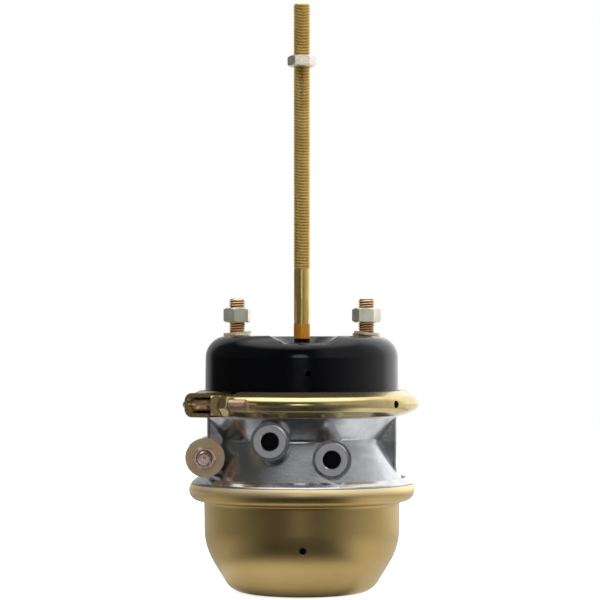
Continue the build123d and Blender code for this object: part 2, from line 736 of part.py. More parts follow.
with BuildPart() as clamp_half_front:
    add(clamp_half.part)
finish(clamp_half_front, "clamp_half_front")

with BuildPart() as clamp_half_rear:
    add(clamp_half.part.rotate(Axis.Z, 180.0))
finish(clamp_half_rear, "clamp_half_rear")

# Clamp bolts and nuts, one pair at each joint of the ring
bolt_length = BOLT_END_S - LUG_BACK_S
with BuildPart() as one_clamp_bolt:
    with BuildSketch(Plane.XZ):
        with BuildLine():
            FilletPolyline(
                (0, -BOLT_NIB_T),
                (BOLT_NIB_R, -BOLT_NIB_T),
                (BOLT_NIB_R + 0.4, -BOLT_HEAD_T - 3.4),
                (BOLT_HEAD_R, -BOLT_HEAD_T),
                (BOLT_HEAD_R, 0),
                (CLAMP_BOLT_R, 0),
                (CLAMP_BOLT_R, bolt_length - 1.2),
                (CLAMP_BOLT_R - 1.2, bolt_length),
                (0, bolt_length),
                radius=[0.9, 1.4, 1.0, 0.2, 0.2, 0.3, 0.3],
            )
            Line((0, bolt_length), (0, -BOLT_NIB_T))
        make_face()
    revolve(axis=Axis.Z)

one_clamp_nut = hex_nut(CLAMP_NUT_AF, CLAMP_NUT_T, CLAMP_BOLT_R + LOOSE, 0.9)
bolt_seat = square_plane(LUG_BACK_S - FACE_GAP).location
nut_seat = square_plane(EAR_FACE_S + FACE_GAP).location * Location((0, 0, 0), (0, 0, CLAMP_NUT_TURN))

with BuildPart() as clamp_bolts:
    for turn in (0.0, 180.0):
        add(one_clamp_bolt.part.moved(bolt_seat).rotate(Axis.Z, turn))
finish(clamp_bolts, "clamp_bolts")

with BuildPart() as clamp_nuts:
    for turn in (0.0, 180.0):
        add(one_clamp_nut.moved(nut_seat).rotate(Axis.Z, turn))
finish(clamp_nuts, "clamp_nuts")

# =================================================================================================
# Mounting studs, headed inside the housing, with their nuts and lock washers
# =================================================================================================
STUD_XS = (-STUD_SPACING / 2.0, STUD_SPACING / 2.0)
HEAD_TOP_Z = HOUSING_TOP_Z - HOUSING_SHEET - 0.1

with BuildPart() as mounting_studs:
    for x in STUD_XS:
        with BuildSketch(Plane.XY.offset(HEAD_TOP_Z - STUD_HEAD_T)):
            with Locations((x, 0)):
                Circle(STUD_HEAD_R)
        extrude(amount=STUD_HEAD_T)
        with BuildSketch(Plane.XY.offset(HEAD_TOP_Z)):
            with Locations((x, 0)):
                Circle(STUD_NECK_R)
        extrude(amount=STUD_FREE_Z - HEAD_TOP_Z)
        with BuildSketch(Plane.XY.offset(STUD_FREE_Z)):
            with Locations((x, 0)):
                Circle(STUD_R)
        extrude(amount=STUD_TIP_Z - STUD_FREE_Z)
    chamfer(mounting_studs.edges().filter_by(GeomType.CIRCLE).group_by(Axis.Z)[-1], STUD_TIP_CHAMFER)
    head_edges = mounting_studs.edges().filter_by(GeomType.CIRCLE)
    fillet(head_edges.group_by(Axis.Z)[0], 1.5)
    shoulder_edges = mounting_studs.edges().filter_by_position(
        Axis.Z, HEAD_TOP_Z - 0.01, HEAD_TOP_Z + 0.01
    )
    fillet(shoulder_edges.group_by(SortBy.RADIUS)[-1], 1.5)
finish(mounting_studs, "mounting_studs")

one_stud_nut = hex_nut(NUT_AF, STUD_NUT_T, STUD_NECK_R + LOOSE)
with BuildPart() as stud_nuts:
    for x, turn in zip(STUD_XS, STUD_NUT_TURNS):
        add(one_stud_nut.moved(Location((x, 0, STUD_NUT_Z), (0, 0, turn))))
finish(stud_nuts, "stud_nuts")

# Helical spring washers, not yet squeezed flat: left-handed coils, so that their ends bite if the
# nut starts to unscrew. Each leans until it rests on its low end and on the side opposite.
with BuildPart() as one_lock_washer:
    with BuildLine() as coil:
        Helix(
            pitch=WASHER_RISE,
            height=WASHER_RISE * WASHER_REACH,
            radius=(WASHER_IN_R + WASHER_OUT_R) / 2.0,
            lefthand=True,
        )
    with BuildSketch(Plane(origin=coil.line @ 0, x_dir=(1, 0, 0), z_dir=coil.line % 0)):
        Rectangle(WASHER_OUT_R - WASHER_IN_R, WASHER_T)
    sweep(path=coil.line, is_frenet=True)
lean = math.radians(WASHER_LEAN_AXIS)
leaning_washer = one_lock_washer.part.rotate(Axis((0, 0, 0), (math.cos(lean), math.sin(lean), 0)), WASHER_LEAN)
washer_low = leaning_washer.bounding_box().min.Z
with BuildPart() as stud_lock_washers:
    for x, turn in zip(STUD_XS, WASHER_TURNS):
        add(leaning_washer.moved(Location((x, 0, HOUSING_TOP_Z + FACE_GAP - washer_low), (0, 0, turn))))
finish(stud_lock_washers, "stud_lock_washers")

# =================================================================================================
# Push rod: threaded rod welded to a dished plate, with its stroke band and jam nut
# =================================================================================================
PLATE_TOP_Z = PUSH_PLATE_Z + PUSH_PLATE_T
COLLAR_R = SHANK_R + COLLAR_STEP
GROOVE_R = SHANK_R - GROOVE_DEPTH
with BuildPart() as push_rod:
    with BuildSketch(Plane.XZ):
        with BuildLine():
            Polyline(
                (0, PLATE_TOP_Z + FACE_GAP),
                (SHANK_R + WELD_LEG, PLATE_TOP_Z + FACE_GAP),
                (SHANK_R, PLATE_TOP_Z + FACE_GAP + WELD_LEG),
                (SHANK_R, BAND_LOW_Z),
                (BAND_SEAT_R, BAND_LOW_Z),
                (BAND_SEAT_R, BAND_TOP_Z),
                (COLLAR_R, BAND_TOP_Z),
                (COLLAR_R, BAND_TOP_Z + COLLAR_H),
                (GROOVE_R, BAND_TOP_Z + COLLAR_H),
                (GROOVE_R, BAND_TOP_Z + COLLAR_H + GROOVE_H),
                (SHANK_R, BAND_TOP_Z + COLLAR_H + GROOVE_H),
                (SHANK_R, THREAD_LOW_Z),
                (ROD_PITCH_R, THREAD_LOW_Z),
                (ROD_PITCH_R, FREE_END_Z),
                (ROD_R, FREE_END_Z),
                (ROD_R, ROD_TIP_Z - ROD_TIP_CHAMFER),
                (ROD_R - ROD_TIP_CHAMFER, ROD_TIP_Z),
                (0, ROD_TIP_Z),
                close=True,
            )
        make_face()
    revolve(axis=Axis.Z)
finish(push_rod, "push_rod")

with BuildPart() as stroke_band:
    with BuildSketch(Plane.XY.offset(BAND_LOW_Z + FACE_GAP)):
        Circle(BAND_R)
        Circle(BAND_SEAT_R + FACE_GAP, mode=Mode.SUBTRACT)
    extrude(amount=BAND_TOP_Z - BAND_LOW_Z - 2.0 * FACE_GAP)
finish(stroke_band, "stroke_band")

one_jam_nut = hex_nut(NUT_AF, JAM_NUT_T, ROD_PITCH_R + LOOSE, 0.9)
with BuildPart() as rod_nut:
    add(one_jam_nut.moved(Location((0, 0, JAM_NUT_Z), (0, 0, JAM_NUT_TURN))))
finish(rod_nut, "rod_nut")

with BuildPart() as push_plate:
    with BuildSketch(Plane.XZ):
        with BuildLine():
            FilletPolyline(
                (0, PUSH_PLATE_Z),
                (PUSH_PLATE_R - PLATE_RIM_W, PUSH_PLATE_Z),
                (PUSH_PLATE_R, PUSH_PLATE_Z + PLATE_RIM_RISE),
                (PUSH_PLATE_R - PLATE_LIP_W, PUSH_PLATE_Z + PLATE_LIP_RISE),
                (PUSH_PLATE_R - PLATE_RIM_W - PLATE_LIP_W / 2.0, PLATE_TOP_Z),
                (0, PLATE_TOP_Z),
                radius=[5.0, 1.2, 1.2, 2.0],
            )
            Line((0, PLATE_TOP_Z), (0, PUSH_PLATE_Z))
        make_face()
    revolve(axis=Axis.Z)
finish(push_plate, "push_plate")

# =================================================================================================
# Diaphragms, drawn in the parked position
# =================================================================================================
DIAPHRAGM_TOP_Z = PUSH_PLATE_Z - FACE_GAP
with BuildPart() as service_diaphragm:
    with BuildSketch(Plane.XZ):
        with BuildLine():
            FilletPolyline(
                (0, DIAPHRAGM_TOP_Z - RUBBER),
                (DISC_R - 2.0, DIAPHRAGM_TOP_Z - RUBBER),
                (SERVICE_R - 4.0, CASE_TOP_Z + 0.1),
                (FLANGE_R - LOOSE, CASE_TOP_Z + 0.1),
                (FLANGE_R - LOOSE, BEAD_TOP_Z - 0.1),
                (SERVICE_R - 1.2, BEAD_TOP_Z - 0.1),
                (DISC_R, DIAPHRAGM_TOP_Z),
                (0, DIAPHRAGM_TOP_Z),
                radius=[6.0, 3.0, 0.8, 0.8, 1.5, 8.0],
            )
            Line((0, DIAPHRAGM_TOP_Z), (0, DIAPHRAGM_TOP_Z - RUBBER))
        make_face()
    revolve(axis=Axis.Z)
finish(service_diaphragm, "service_diaphragm")

# the parking piston, from the top down
PAD_TOP_Z = DIAPHRAGM_TOP_Z - RUBBER - FACE_GAP
PAD_LOW_Z = PAD_TOP_Z - PAD_T
ADAPTER_PLATE_TOP = WEB_LOW_Z - 0.5
ADAPTER_PLATE_LOW = ADAPTER_PLATE_TOP - ADAPTER_PLATE_T
PARK_TOP_Z = ADAPTER_PLATE_LOW - FACE_GAP
PRESSURE_TOP_Z = PARK_TOP_Z - RUBBER - FACE_GAP
PRESSURE_LOW_Z = PRESSURE_TOP_Z - PRESSURE_PLATE_T
SKIRT_LOW_Z = PRESSURE_LOW_Z - PRESSURE_SKIRT
PARK_BEAD_TOP = CASE_LOW_Z - 0.1
PARK_BEAD_LOW = PARK_BEAD_TOP - PARK_BEAD_T
PARK_BEAD_IN = PARK_R - 0.5
PARK_BEAD_R = ROLL_X + PARK_BEAD_OUT

with BuildPart() as parking_diaphragm:
    with BuildSketch(Plane.XZ):
        with BuildLine():
            FilletPolyline(
                (0, PARK_TOP_Z - RUBBER),
                (PARK_DISC_R - 1.0, PARK_TOP_Z - RUBBER),
                (PARK_BEAD_IN - 3.5, PARK_BEAD_LOW),
                (PARK_BEAD_R, PARK_BEAD_LOW),
                (PARK_BEAD_R, PARK_BEAD_TOP),
                (PARK_BEAD_IN - 1.0, PARK_BEAD_TOP),
                (PARK_DISC_R + 1.0, PARK_TOP_Z),
                (0, PARK_TOP_Z),
                radius=[5.0, 3.0, PARK_BEAD_OUT, 1.5, 1.5, 6.0],
            )
            Line((0, PARK_TOP_Z), (0, PARK_TOP_Z - RUBBER))
        make_face()
    revolve(axis=Axis.Z)
finish(parking_diaphragm, "parking_diaphragm")

with BuildPart() as adapter_rod:
    with BuildSketch(Plane.XY.offset(ADAPTER_PLATE_TOP + FACE_GAP)):
        Circle(ADAPTER_R)
    extrude(amount=PAD_LOW_Z - ADAPTER_PLATE_TOP - 2.0 * FACE_GAP)
    chamfer(adapter_rod.edges().filter_by(GeomType.CIRCLE), 0.8)
finish(adapter_rod, "adapter_rod")

with BuildPart() as reaction_pad:
    with BuildSketch(Plane.XY.offset(PAD_LOW_Z)):
        Circle(PAD_R)
    extrude(amount=PAD_T)
    fillet(reaction_pad.edges().filter_by(GeomType.CIRCLE), 1.5)
finish(reaction_pad, "reaction_pad")

with BuildPart() as adapter_plate:
    with BuildSketch(Plane.XY.offset(ADAPTER_PLATE_LOW)):
        Circle(ADAPTER_PLATE_R)
    extrude(amount=ADAPTER_PLATE_T)
    fillet(adapter_plate.edges().filter_by(GeomType.CIRCLE), 2.0)
finish(adapter_plate, "adapter_plate")

with BuildPart() as pressure_plate:
    with BuildSketch(Plane.XZ):
        with BuildLine():
            FilletPolyline(
                (0, PRESSURE_TOP_Z),
                (PRESSURE_PLATE_R - 6.0, PRESSURE_TOP_Z),
                (PRESSURE_PLATE_R, PRESSURE_TOP_Z - 6.0),
                (PRESSURE_PLATE_R, SKIRT_LOW_Z),
                (PRESSURE_PLATE_R - 4.0, SKIRT_LOW_Z),
                (PRESSURE_PLATE_R - 5.5, PRESSURE_LOW_Z),
                (HUB_R + 2.0, PRESSURE_LOW_Z),
                (HUB_R, PRESSURE_LOW_Z - HUB_DROP),
                (0, PRESSURE_LOW_Z - HUB_DROP),
                radius=[4.0, 1.5, 1.5, 1.5, 2.5, 3.0, 1.5],
            )
            Line((0, PRESSURE_LOW_Z - HUB_DROP), (0, PRESSURE_TOP_Z))
        make_face()
    revolve(axis=Axis.Z)
    # keyhole for the release bolt: a slotted mouth over a wider chamber where its T end turns
    with BuildSketch(Plane.XY.offset(PRESSURE_LOW_Z - HUB_DROP)):
        Circle(KEY_BORE_R)
        Rectangle(2.0 * (TEE_HALF + TEE_PLAY), TEE_T + 2.0 * TEE_PLAY)
    extrude(amount=HUB_DROP + 2.0, mode=Mode.SUBTRACT)
    with BuildSketch(Plane.XY.offset(PRESSURE_LOW_Z - 10.0)):
        Circle(TEE_HALF + 2.5)
    extrude(amount=12.0, mode=Mode.SUBTRACT)
finish(pressure_plate, "pressure_plate")

# =================================================================================================
# Springs: the power spring is a barrel, the return spring a cone, so that their coils nest as they close
# =================================================================================================
POWER_LOW_Z = SHEET + 0.4
POWER_TOP_Z = PRESSURE_LOW_Z - 0.4
RETURN_LOW_Z = PLATE_TOP_Z + 0.4
RETURN_TOP_Z = RELIEF_FLOOR_Z - HOUSING_SHEET - 1.4

def coil(low_z, high_z, radius_at, wire_r, turns):
    """A round-wire coil between two heights, its path a chain of tangent arcs."""
    steps = round(turns * ARCS_PER_TURN)

    def spot(step):
        part = step / steps
        turn = 2.0 * math.pi * turns * part
        radius = radius_at(part)
        height = low_z + wire_r + (high_z - low_z - 2.0 * wire_r) * part
        return Vector(radius * math.cos(turn), radius * math.sin(turn), height)

    heading = (spot(0.01) - spot(0.0)).normalized()
    with BuildPart() as spring:
        with BuildLine() as path:
            for step in range(steps):
                arc = TangentArc(spot(step), spot(step + 1), tangent=heading)
                heading = arc % 1
        with BuildSketch(Plane(origin=path.line @ 0, z_dir=path.line % 0)):
            Circle(wire_r)
        sweep(path=path.line)
    return spring.part


def barrel(part):
    """The power spring's radius: widest half way up."""
    return POWER_END_R + (POWER_MID_R - POWER_END_R) * math.sin(math.pi * part)


def cone(part):
    """The return spring's radius: widest on the push plate."""
    return RETURN_LOW_R + (RETURN_TOP_R - RETURN_LOW_R) * part


with BuildPart() as power_spring:
    add(coil(POWER_LOW_Z, POWER_TOP_Z, barrel, POWER_WIRE_R, POWER_TURNS))
finish(power_spring, "power_spring")

with BuildPart() as return_spring:
    add(coil(RETURN_LOW_Z, RETURN_TOP_Z, cone, RETURN_WIRE_R, RETURN_TURNS))
finish(return_spring, "return_spring")

# =================================================================================================
# Release bolt, nut and washer, stored in the side pocket
# =================================================================================================
with BuildPart() as release_bolt:
    with BuildSketch(Plane.XZ.offset(-RELEASE_END_Y)):
        with Locations((RELEASE_X, RELEASE_Z)):
            Circle(RELEASE_R)
    extrude(amount=RELEASE_END_Y - RELEASE_TAIL_Y)
    with BuildSketch(Plane.XZ.offset(-RELEASE_TAIL_Y)):
        with Locations((RELEASE_X, RELEASE_Z)):
            RectangleRounded(TEE_T, 2.0 * TEE_HALF, 1.5)
    extrude(amount=TEE_W)
    tip = release_bolt.edges().filter_by(GeomType.CIRCLE).sort_by(Axis.Y)[0]
    chamfer(tip, 1.0)
    with BuildSketch(Plane.XZ.offset(-RELEASE_END_Y)):
        with Locations((RELEASE_X, RELEASE_Z)):
            Circle(2.2)
    extrude(amount=-1.6, taper=45.0, mode=Mode.SUBTRACT)
finish(release_bolt, "release_bolt")

RELEASE_WASHER_Y = POCKET_FRONT_Y - FACE_GAP
with BuildPart() as release_washer:
    with BuildSketch(Plane.XZ.offset(-RELEASE_WASHER_Y)):
        with Locations((RELEASE_X, RELEASE_Z)):
            Circle(RELEASE_WASHER_R)
            Circle(RELEASE_R + LOOSE, mode=Mode.SUBTRACT)
    extrude(amount=RELEASE_WASHER_T)
    chamfer(release_washer.edges().filter_by(GeomType.CIRCLE).group_by(SortBy.RADIUS)[-1], 0.4)
finish(release_washer, "release_washer")

RELEASE_NUT_Y = RELEASE_WASHER_Y - RELEASE_WASHER_T - FACE_GAP
release_nut_seat = Plane(
    origin=(RELEASE_X, RELEASE_NUT_Y, RELEASE_Z), x_dir=(1, 0, 0), z_dir=(0, -1, 0)
).location
with BuildPart() as release_nut:
    add(hex_nut(RELEASE_NUT_AF, RELEASE_NUT_T, RELEASE_R + LOOSE).moved(release_nut_seat))
finish(release_nut, "release_nut")
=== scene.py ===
"""Looks for the spring brake chamber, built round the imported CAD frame. Metres, in the frame's axes."""

import json
import math

import bmesh
import bpy
from mathutils import Matrix, Vector


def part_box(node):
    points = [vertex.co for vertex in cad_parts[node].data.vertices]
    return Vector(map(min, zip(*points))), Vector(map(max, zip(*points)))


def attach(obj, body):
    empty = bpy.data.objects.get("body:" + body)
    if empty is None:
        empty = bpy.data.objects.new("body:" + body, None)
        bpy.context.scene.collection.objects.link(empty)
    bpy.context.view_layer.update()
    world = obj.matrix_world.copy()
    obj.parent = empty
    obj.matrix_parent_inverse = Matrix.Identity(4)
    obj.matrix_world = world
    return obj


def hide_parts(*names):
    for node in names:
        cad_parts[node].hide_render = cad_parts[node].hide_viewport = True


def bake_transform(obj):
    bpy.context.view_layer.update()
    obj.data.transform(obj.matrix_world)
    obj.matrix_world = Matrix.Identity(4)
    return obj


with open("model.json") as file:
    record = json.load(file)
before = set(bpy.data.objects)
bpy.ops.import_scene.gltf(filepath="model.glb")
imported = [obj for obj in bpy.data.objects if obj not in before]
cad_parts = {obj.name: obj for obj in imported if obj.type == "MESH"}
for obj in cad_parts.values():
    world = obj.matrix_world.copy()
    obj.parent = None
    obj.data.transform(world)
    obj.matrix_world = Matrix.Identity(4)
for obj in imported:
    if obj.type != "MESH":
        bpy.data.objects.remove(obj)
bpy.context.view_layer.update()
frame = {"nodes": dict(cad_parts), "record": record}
NODES = frame["nodes"]
MM = 0.001

# ---- camera, from the photograph's horizon, scale and perspective -------------------------------
PHOTO_PX = 600
SCALE_MM_PX = 0.934  # at the push rod's axis
EYE_DISTANCE = 2.0
EYE_HEIGHT = 0.226
AXIS_PX = 301.9
AIM_HEIGHT = 0.2709
SENSOR_MM = 36.0

# ---- real sizes of the screw threads ------------------------------------------------------------
INCH = 25.4 * MM
ROD_PITCH = INCH / 18.0
STUD_PITCH = INCH / 11.0
CLAMP_PITCH = INCH / 14.0
RELEASE_PITCH = INCH / 13.0
PORT_PITCH = INCH / 18.0

# ---- places on the CAD model that the new pieces start from -------------------------------------
THREAD_OVERLAP = 0.2 * MM  # how far a bar's plain part reaches into its screw
ROD_CREST_R = 7.9 * MM
ROD_ROOT_R = 7.05 * MM
ROD_SHANK_R = 7.3 * MM
ROD_CHAMFER = 1.3 * MM
ROD_THREAD_LOW = 299.4 * MM
BAND_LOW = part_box("stroke_band")[0][2]
SHADE_PAINT_OVERLAP = 0.1 * MM  # how far the rod's black, a painted shade where it goes down into the housing, reaches under the stroke band
STUD_CREST_R = 7.75 * MM
STUD_ROOT_R = 6.35 * MM
STUD_CHAMFER = 1.6 * MM
STUD_THREAD_RISE = 0.6 * MM  # from the housing's top to the first turn
STUD_THREAD_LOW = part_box("non_pressure_housing")[1][2] + STUD_THREAD_RISE
STUD_X = 60.325 * MM
STUD_TURNS = (0.0, 2.3)  # radians round the left and the right stud to the start of its thread
CLAMP_CREST_R = 5.56 * MM
CLAMP_ROOT_R = 4.65 * MM
CLAMP_CHAMFER = 1.2 * MM
CLAMP_BOLT_LINE = 118.98 * MM  # from the axis to the clamp bolts
CLAMP_BOLT_ANGLE = math.radians(60.0)
CLAMP_BOLT_END = 12.1 * MM
CLAMP_THREAD = 39.0 * MM
RELEASE_CREST_R = 6.35 * MM
RELEASE_ROOT_R = 5.4 * MM
RELEASE_CHAMFER = 1.2 * MM
RELEASE_DIMPLE_R = 2.2 * MM
RELEASE_THREAD = 22.0 * MM
PORT_MOUNT_DEPTH = 5.0 * MM  # the ports' mounts lie this far inside their faces
PORT_THREAD_START = 0.9 * MM
PORT_THREAD = 13.0 * MM
PORT_ROOT_R = 7.65 * MM
PORT_CREST_R = 7.1 * MM
MILLED_R = 14.6 * MM
MILLED_EDGE = 0.5 * MM
MILLED_DEPTH = (0.5 * MM, 0.2 * MM)  # below a port's face: the milling has ended, and is still whole
CROWN_HIGHLIGHT = (92.0 * MM, 99.0 * MM)  # heights between which the cup's rolled rim is painted paler and less metallic: a painted highlight along its top
BARREL_FOOT = (8.0 * MM, 18.0 * MM)  # heights over which the power spring is drawn in, from below
BARREL_HEAD = (95.0 * MM, 80.0 * MM)  # and from above
BARREL_CUT = 0.11  # share of the radius
RETURN_SPLIT = 0.4  # share of the return spring's height at which it is cut into two pieces

# ---- names and steps of the meshes --------------------------------------------------------------
THREAD_DEPTH = "thread_depth"  # the meshes' attribute: 1 at the bottom of a screw thread, where plated() paints shade
THREAD_STEPS = 8  # rows of points to each pitch
THREAD_ROUNDING = 0.8  # power that widens the threads' crests
MERGE = 1e-7
WELD = 1e-6
SMOOTH_ANGLE = math.radians(32.0)
SPRING_SMOOTH_ANGLE = math.radians(60.0)
SHEET_SMOOTH_ANGLE = math.radians(40.0)


# =================================================================================================
# Node helpers
# =================================================================================================
class Nodes:
    """Short ways to add nodes to a tree."""

    def __init__(self, tree):
        self.tree = tree

    def node(self, kind, **values):
        n = self.tree.nodes.new(kind)
        for key, value in values.items():
            setattr(n, key, value)
        return n

    def feed(self, socket, value):
        """Links an output to a socket, or sets the socket to a value."""
        if isinstance(value, bpy.types.NodeSocket):
            self.tree.links.new(value, socket)
        elif hasattr(value, "__len__") and len(value) == 3 and socket.type == "RGBA":
            socket.default_value = (*value, 1.0)
        else:
            socket.default_value = value

    def math(self, operation, a, b=0.0):
        n = self.node("ShaderNodeMath", operation=operation)
        self.feed(n.inputs[0], a)
        self.feed(n.inputs[1], b)
        return n.outputs[0]

    def scaled(self, value, times, plus):
        """A value times one number, plus another."""
        return self.math("ADD", self.math("MULTIPLY", value, times), plus)

    def smooth(self, value, low, high, to_low=0.0, to_high=1.0, kind="SMOOTHSTEP"):
        """A value's place between two limits, eased, as a value between two others."""
        n = self.node("ShaderNodeMapRange", interpolation_type=kind)
        for key, entry in (
            ("Value", value),
            ("From Min", low),
            ("From Max", high),
            ("To Min", to_low),
            ("To Max", to_high),
        ):
            self.feed(n.inputs[key], entry)
        return n.outputs[0]

    def ramp(self, value, low, high, to_low=0.0, to_high=1.0):
        """As smooth, but straight."""
        return self.smooth(value, low, high, to_low, to_high, "LINEAR")

    def mix(self, factor, a, b):
        n = self.node("ShaderNodeMix", data_type="RGBA")
        self.feed(n.inputs[0], factor)
        self.feed(n.inputs[6], a)
        self.feed(n.inputs[7], b)
        return n.outputs[2]

    def vector(self, operation, a, b=None, output="Vector"):
        n = self.node("ShaderNodeVectorMath", operation=operation)
        self.feed(n.inputs[0], a)
        if b is not None:
            self.feed(n.inputs[1], b)
        return n.outputs[output]

    def parts(self, vector):
        n = self.node("ShaderNodeSeparateXYZ")
        self.feed(n.inputs[0], vector)
        return n.outputs

    def mix_shader(self, factor, a, b):
        n = self.node("ShaderNodeMixShader")
        self.feed(n.inputs[0], factor)
        self.feed(n.inputs[1], a)
        self.feed(n.inputs[2], b)
        return n.outputs[0]


class Shade(Nodes):
    """A material with a Principled shader."""

    def __init__(self, name, color, metallic=0.0, roughness=0.5, **sockets):
        self.mat = bpy.data.materials.new(name)
        self.mat.use_nodes = True
        super().__init__(self.mat.node_tree)
        self.bsdf = next(n for n in self.tree.nodes if n.type == "BSDF_PRINCIPLED")
        self.set("Base Color", color)
        self.set("Metallic", metallic)
        self.set("Roughness", roughness)
        for key, value in sockets.items():
            self.set(key.replace("_", " "), value)
        self.coords = self.node("ShaderNodeTexCoord").outputs["Object"]

    def set(self, socket, value):
        self.feed(self.bsdf.inputs[socket], value)

    def noise(self, scale, detail, rough, stretch=(1, 1, 1)):
        mapping = self.node("ShaderNodeMapping")
        mapping.inputs["Scale"].default_value = stretch
        self.feed(mapping.inputs["Vector"], self.coords)
        n = self.node("ShaderNodeTexNoise")
        n.inputs["Scale"].default_value = scale
        n.inputs["Detail"].default_value = detail
        n.inputs["Roughness"].default_value = rough
        self.feed(n.inputs["Vector"], mapping.outputs["Vector"])
        return n.outputs["Fac"]

    def bump(self, height, strength, distance):
        n = self.node("ShaderNodeBump")
        n.inputs["Strength"].default_value = strength
        n.inputs["Distance"].default_value = distance
        self.feed(n.inputs["Height"], height)
        self.feed(self.bsdf.inputs["Normal"], n.outputs["Normal"])


# =================================================================================================
# Materials
# =================================================================================================
def plated(name, light, dark, roughness, metallic, stain=None, stain_share=0.55, root=None):
    """Zinc plate over steel: slightly cloudy colour and gloss, with patches of `stain`.

    `root` is a darker colour painted at the bottom of a screw thread, as painted shade in its roots.
    """
    cloud_scale, stain_scale = 70.0, 42.0
    cloud_edge, stain_edge, root_shade_edge = (0.35, 0.68), (0.46, 0.62), (0.1, 0.9)
    gloss_change = 0.14
    bump_strength = 0.02 if root else 0.04
    s = Shade(name, light, metallic=metallic, roughness=roughness)
    clouds = s.noise(scale=cloud_scale, detail=5.0, rough=0.6)
    base = s.mix(s.smooth(clouds, *cloud_edge), light, dark)
    if stain:
        spots = s.noise(scale=stain_scale, detail=3.0, rough=0.55)
        base = s.mix(s.math("MULTIPLY", s.smooth(spots, *stain_edge), stain_share), base, stain)
    # painted shade: a darker colour in the bottoms of the screw threads
    if root:
        depth = s.node("ShaderNodeAttribute", attribute_name=THREAD_DEPTH).outputs["Fac"]
        base = s.mix(s.smooth(depth, *root_shade_edge), base, root)
    s.set("Base Color", base)
    s.set("Roughness", s.scaled(clouds, gloss_change, roughness - gloss_change / 2.0))
    s.bump(s.noise(scale=900.0, detail=3.0, rough=0.6), strength=bump_strength, distance=0.0002)
    return s


def make_gold_paint():
    light, dark, flake_color = (0.56, 0.40, 0.155), (0.49, 0.34, 0.125), (0.70, 0.53, 0.25)
    crown_highlight_color = (0.96, 0.80, 0.46)
    metallic, crown_highlight_metallic = 0.96, 0.54
    low_roughness, roughness_range = 0.31, 0.06
    flake_share, crown_highlight_share, cloud_edge = 0.3, 0.8, (0.3, 0.7)
    s = Shade("gold_paint", light, metallic=metallic, roughness=0.32)
    # painted highlight: the rolled rim's top is paler and less metallic than the rest of the paint
    crown_highlight = s.smooth(s.parts(s.coords)["Z"], *CROWN_HIGHLIGHT)
    flake = s.noise(scale=2600.0, detail=2.0, rough=0.5)
    cloud = s.noise(scale=14.0, detail=4.0, rough=0.55)
    base = s.mix(s.smooth(cloud, *cloud_edge), light, dark)
    paint = s.mix(s.math("MULTIPLY", flake, flake_share), base, flake_color)
    s.set("Base Color", s.mix(s.math("MULTIPLY", crown_highlight, crown_highlight_share), paint, crown_highlight_color))
    s.set("Metallic", s.scaled(crown_highlight, crown_highlight_metallic - metallic, metallic))
    s.set("Roughness", s.scaled(cloud, roughness_range, low_roughness))
    s.bump(flake, strength=0.08, distance=0.0002)
    return s


def make_black_paint():
    ink, grit = (0.0018, 0.002, 0.0027), (0.3, 0.3, 0.3)
    dust_edge, dust_share = (0.70, 0.80), 0.01
    s = Shade("black_paint", ink, roughness=0.12, Specular_IOR_Level=0.36)
    dust = s.smooth(s.noise(scale=420.0, detail=3.0, rough=0.6), *dust_edge)
    s.set("Base Color", s.mix(s.math("MULTIPLY", dust, dust_share), ink, grit))
    s.bump(s.noise(scale=130.0, detail=2.0, rough=0.4), strength=0.04, distance=0.0006)
    return s


def port_mounts():
    """The two ports' mounts, each with its place and its direction into the casting."""
    for mount in frame["record"]["mounts"]:
        if mount["name"] in ("service_port", "parking_port"):
            inward = Vector(mount["axis"])
            if inward.y < 0.0:
                inward.negate()
            yield Vector(mount["pos_m"]), inward


def milled_faces(s):
    """The share of milling at a point of the casting: 1 on the two ports' flat faces."""
    ended, whole = (below - PORT_MOUNT_DEPTH for below in MILLED_DEPTH)
    share = 0.0
    for place, inward in port_mounts():
        offset = s.vector("SUBTRACT", s.coords, place)
        depth = s.vector("DOT_PRODUCT", offset, inward, "Value")
        away = s.vector("LENGTH", s.vector("CROSS_PRODUCT", offset, inward), output="Value")
        near = s.smooth(away, MILLED_R - MILLED_EDGE, MILLED_R, 1.0, 0.0)
        front = s.smooth(depth, ended, whole)
        share = s.math("MAXIMUM", share, s.math("MULTIPLY", near, front))
    return share


def make_casting():
    pale, mid, deep = (0.72, 0.73, 0.75), (0.61, 0.62, 0.645), (0.50, 0.51, 0.535)
    milling = (0.42, 0.42, 0.44)
    low_roughness, roughness_range = 0.14, 0.14
    milling_metallic, milling_roughness = 0.58, 0.1
    mottle_edge, flow_edge, grain_share = (0.36, 0.66), (0.5, 0.72), 0.45
    s = Shade("cast_aluminium", pale, metallic=1.0, roughness=0.28)
    mottle = s.noise(scale=48.0, detail=6.0, rough=0.62)
    flow = s.noise(scale=16.0, detail=3.0, rough=0.5, stretch=(1, 1, 2.6))
    base = s.mix(s.smooth(mottle, *mottle_edge), pale, mid)
    milled = milled_faces(s)
    cast = s.mix(s.smooth(flow, *flow_edge), base, deep)
    s.set("Base Color", s.mix(milled, cast, milling))
    s.set("Metallic", s.scaled(milled, milling_metallic - 1.0, 1.0))
    cast_roughness = s.scaled(mottle, roughness_range, low_roughness)
    s.set("Roughness", s.math("ADD", cast_roughness, s.math("MULTIPLY", milled, milling_roughness)))
    grain = s.mix(grain_share, s.noise(scale=420.0, detail=5.0, rough=0.6), mottle)
    s.bump(grain, strength=0.16, distance=0.0005)
    return s


def make_rubber():
    dark, grey = (0.012, 0.012, 0.012), (0.03, 0.03, 0.03)
    s = Shade("rubber", dark, roughness=0.7)
    grain = s.noise(scale=600.0, detail=4.0, rough=0.6)
    s.set("Base Color", s.mix(grain, dark, grey))
    s.bump(grain, strength=0.25, distance=0.0003)
    return s


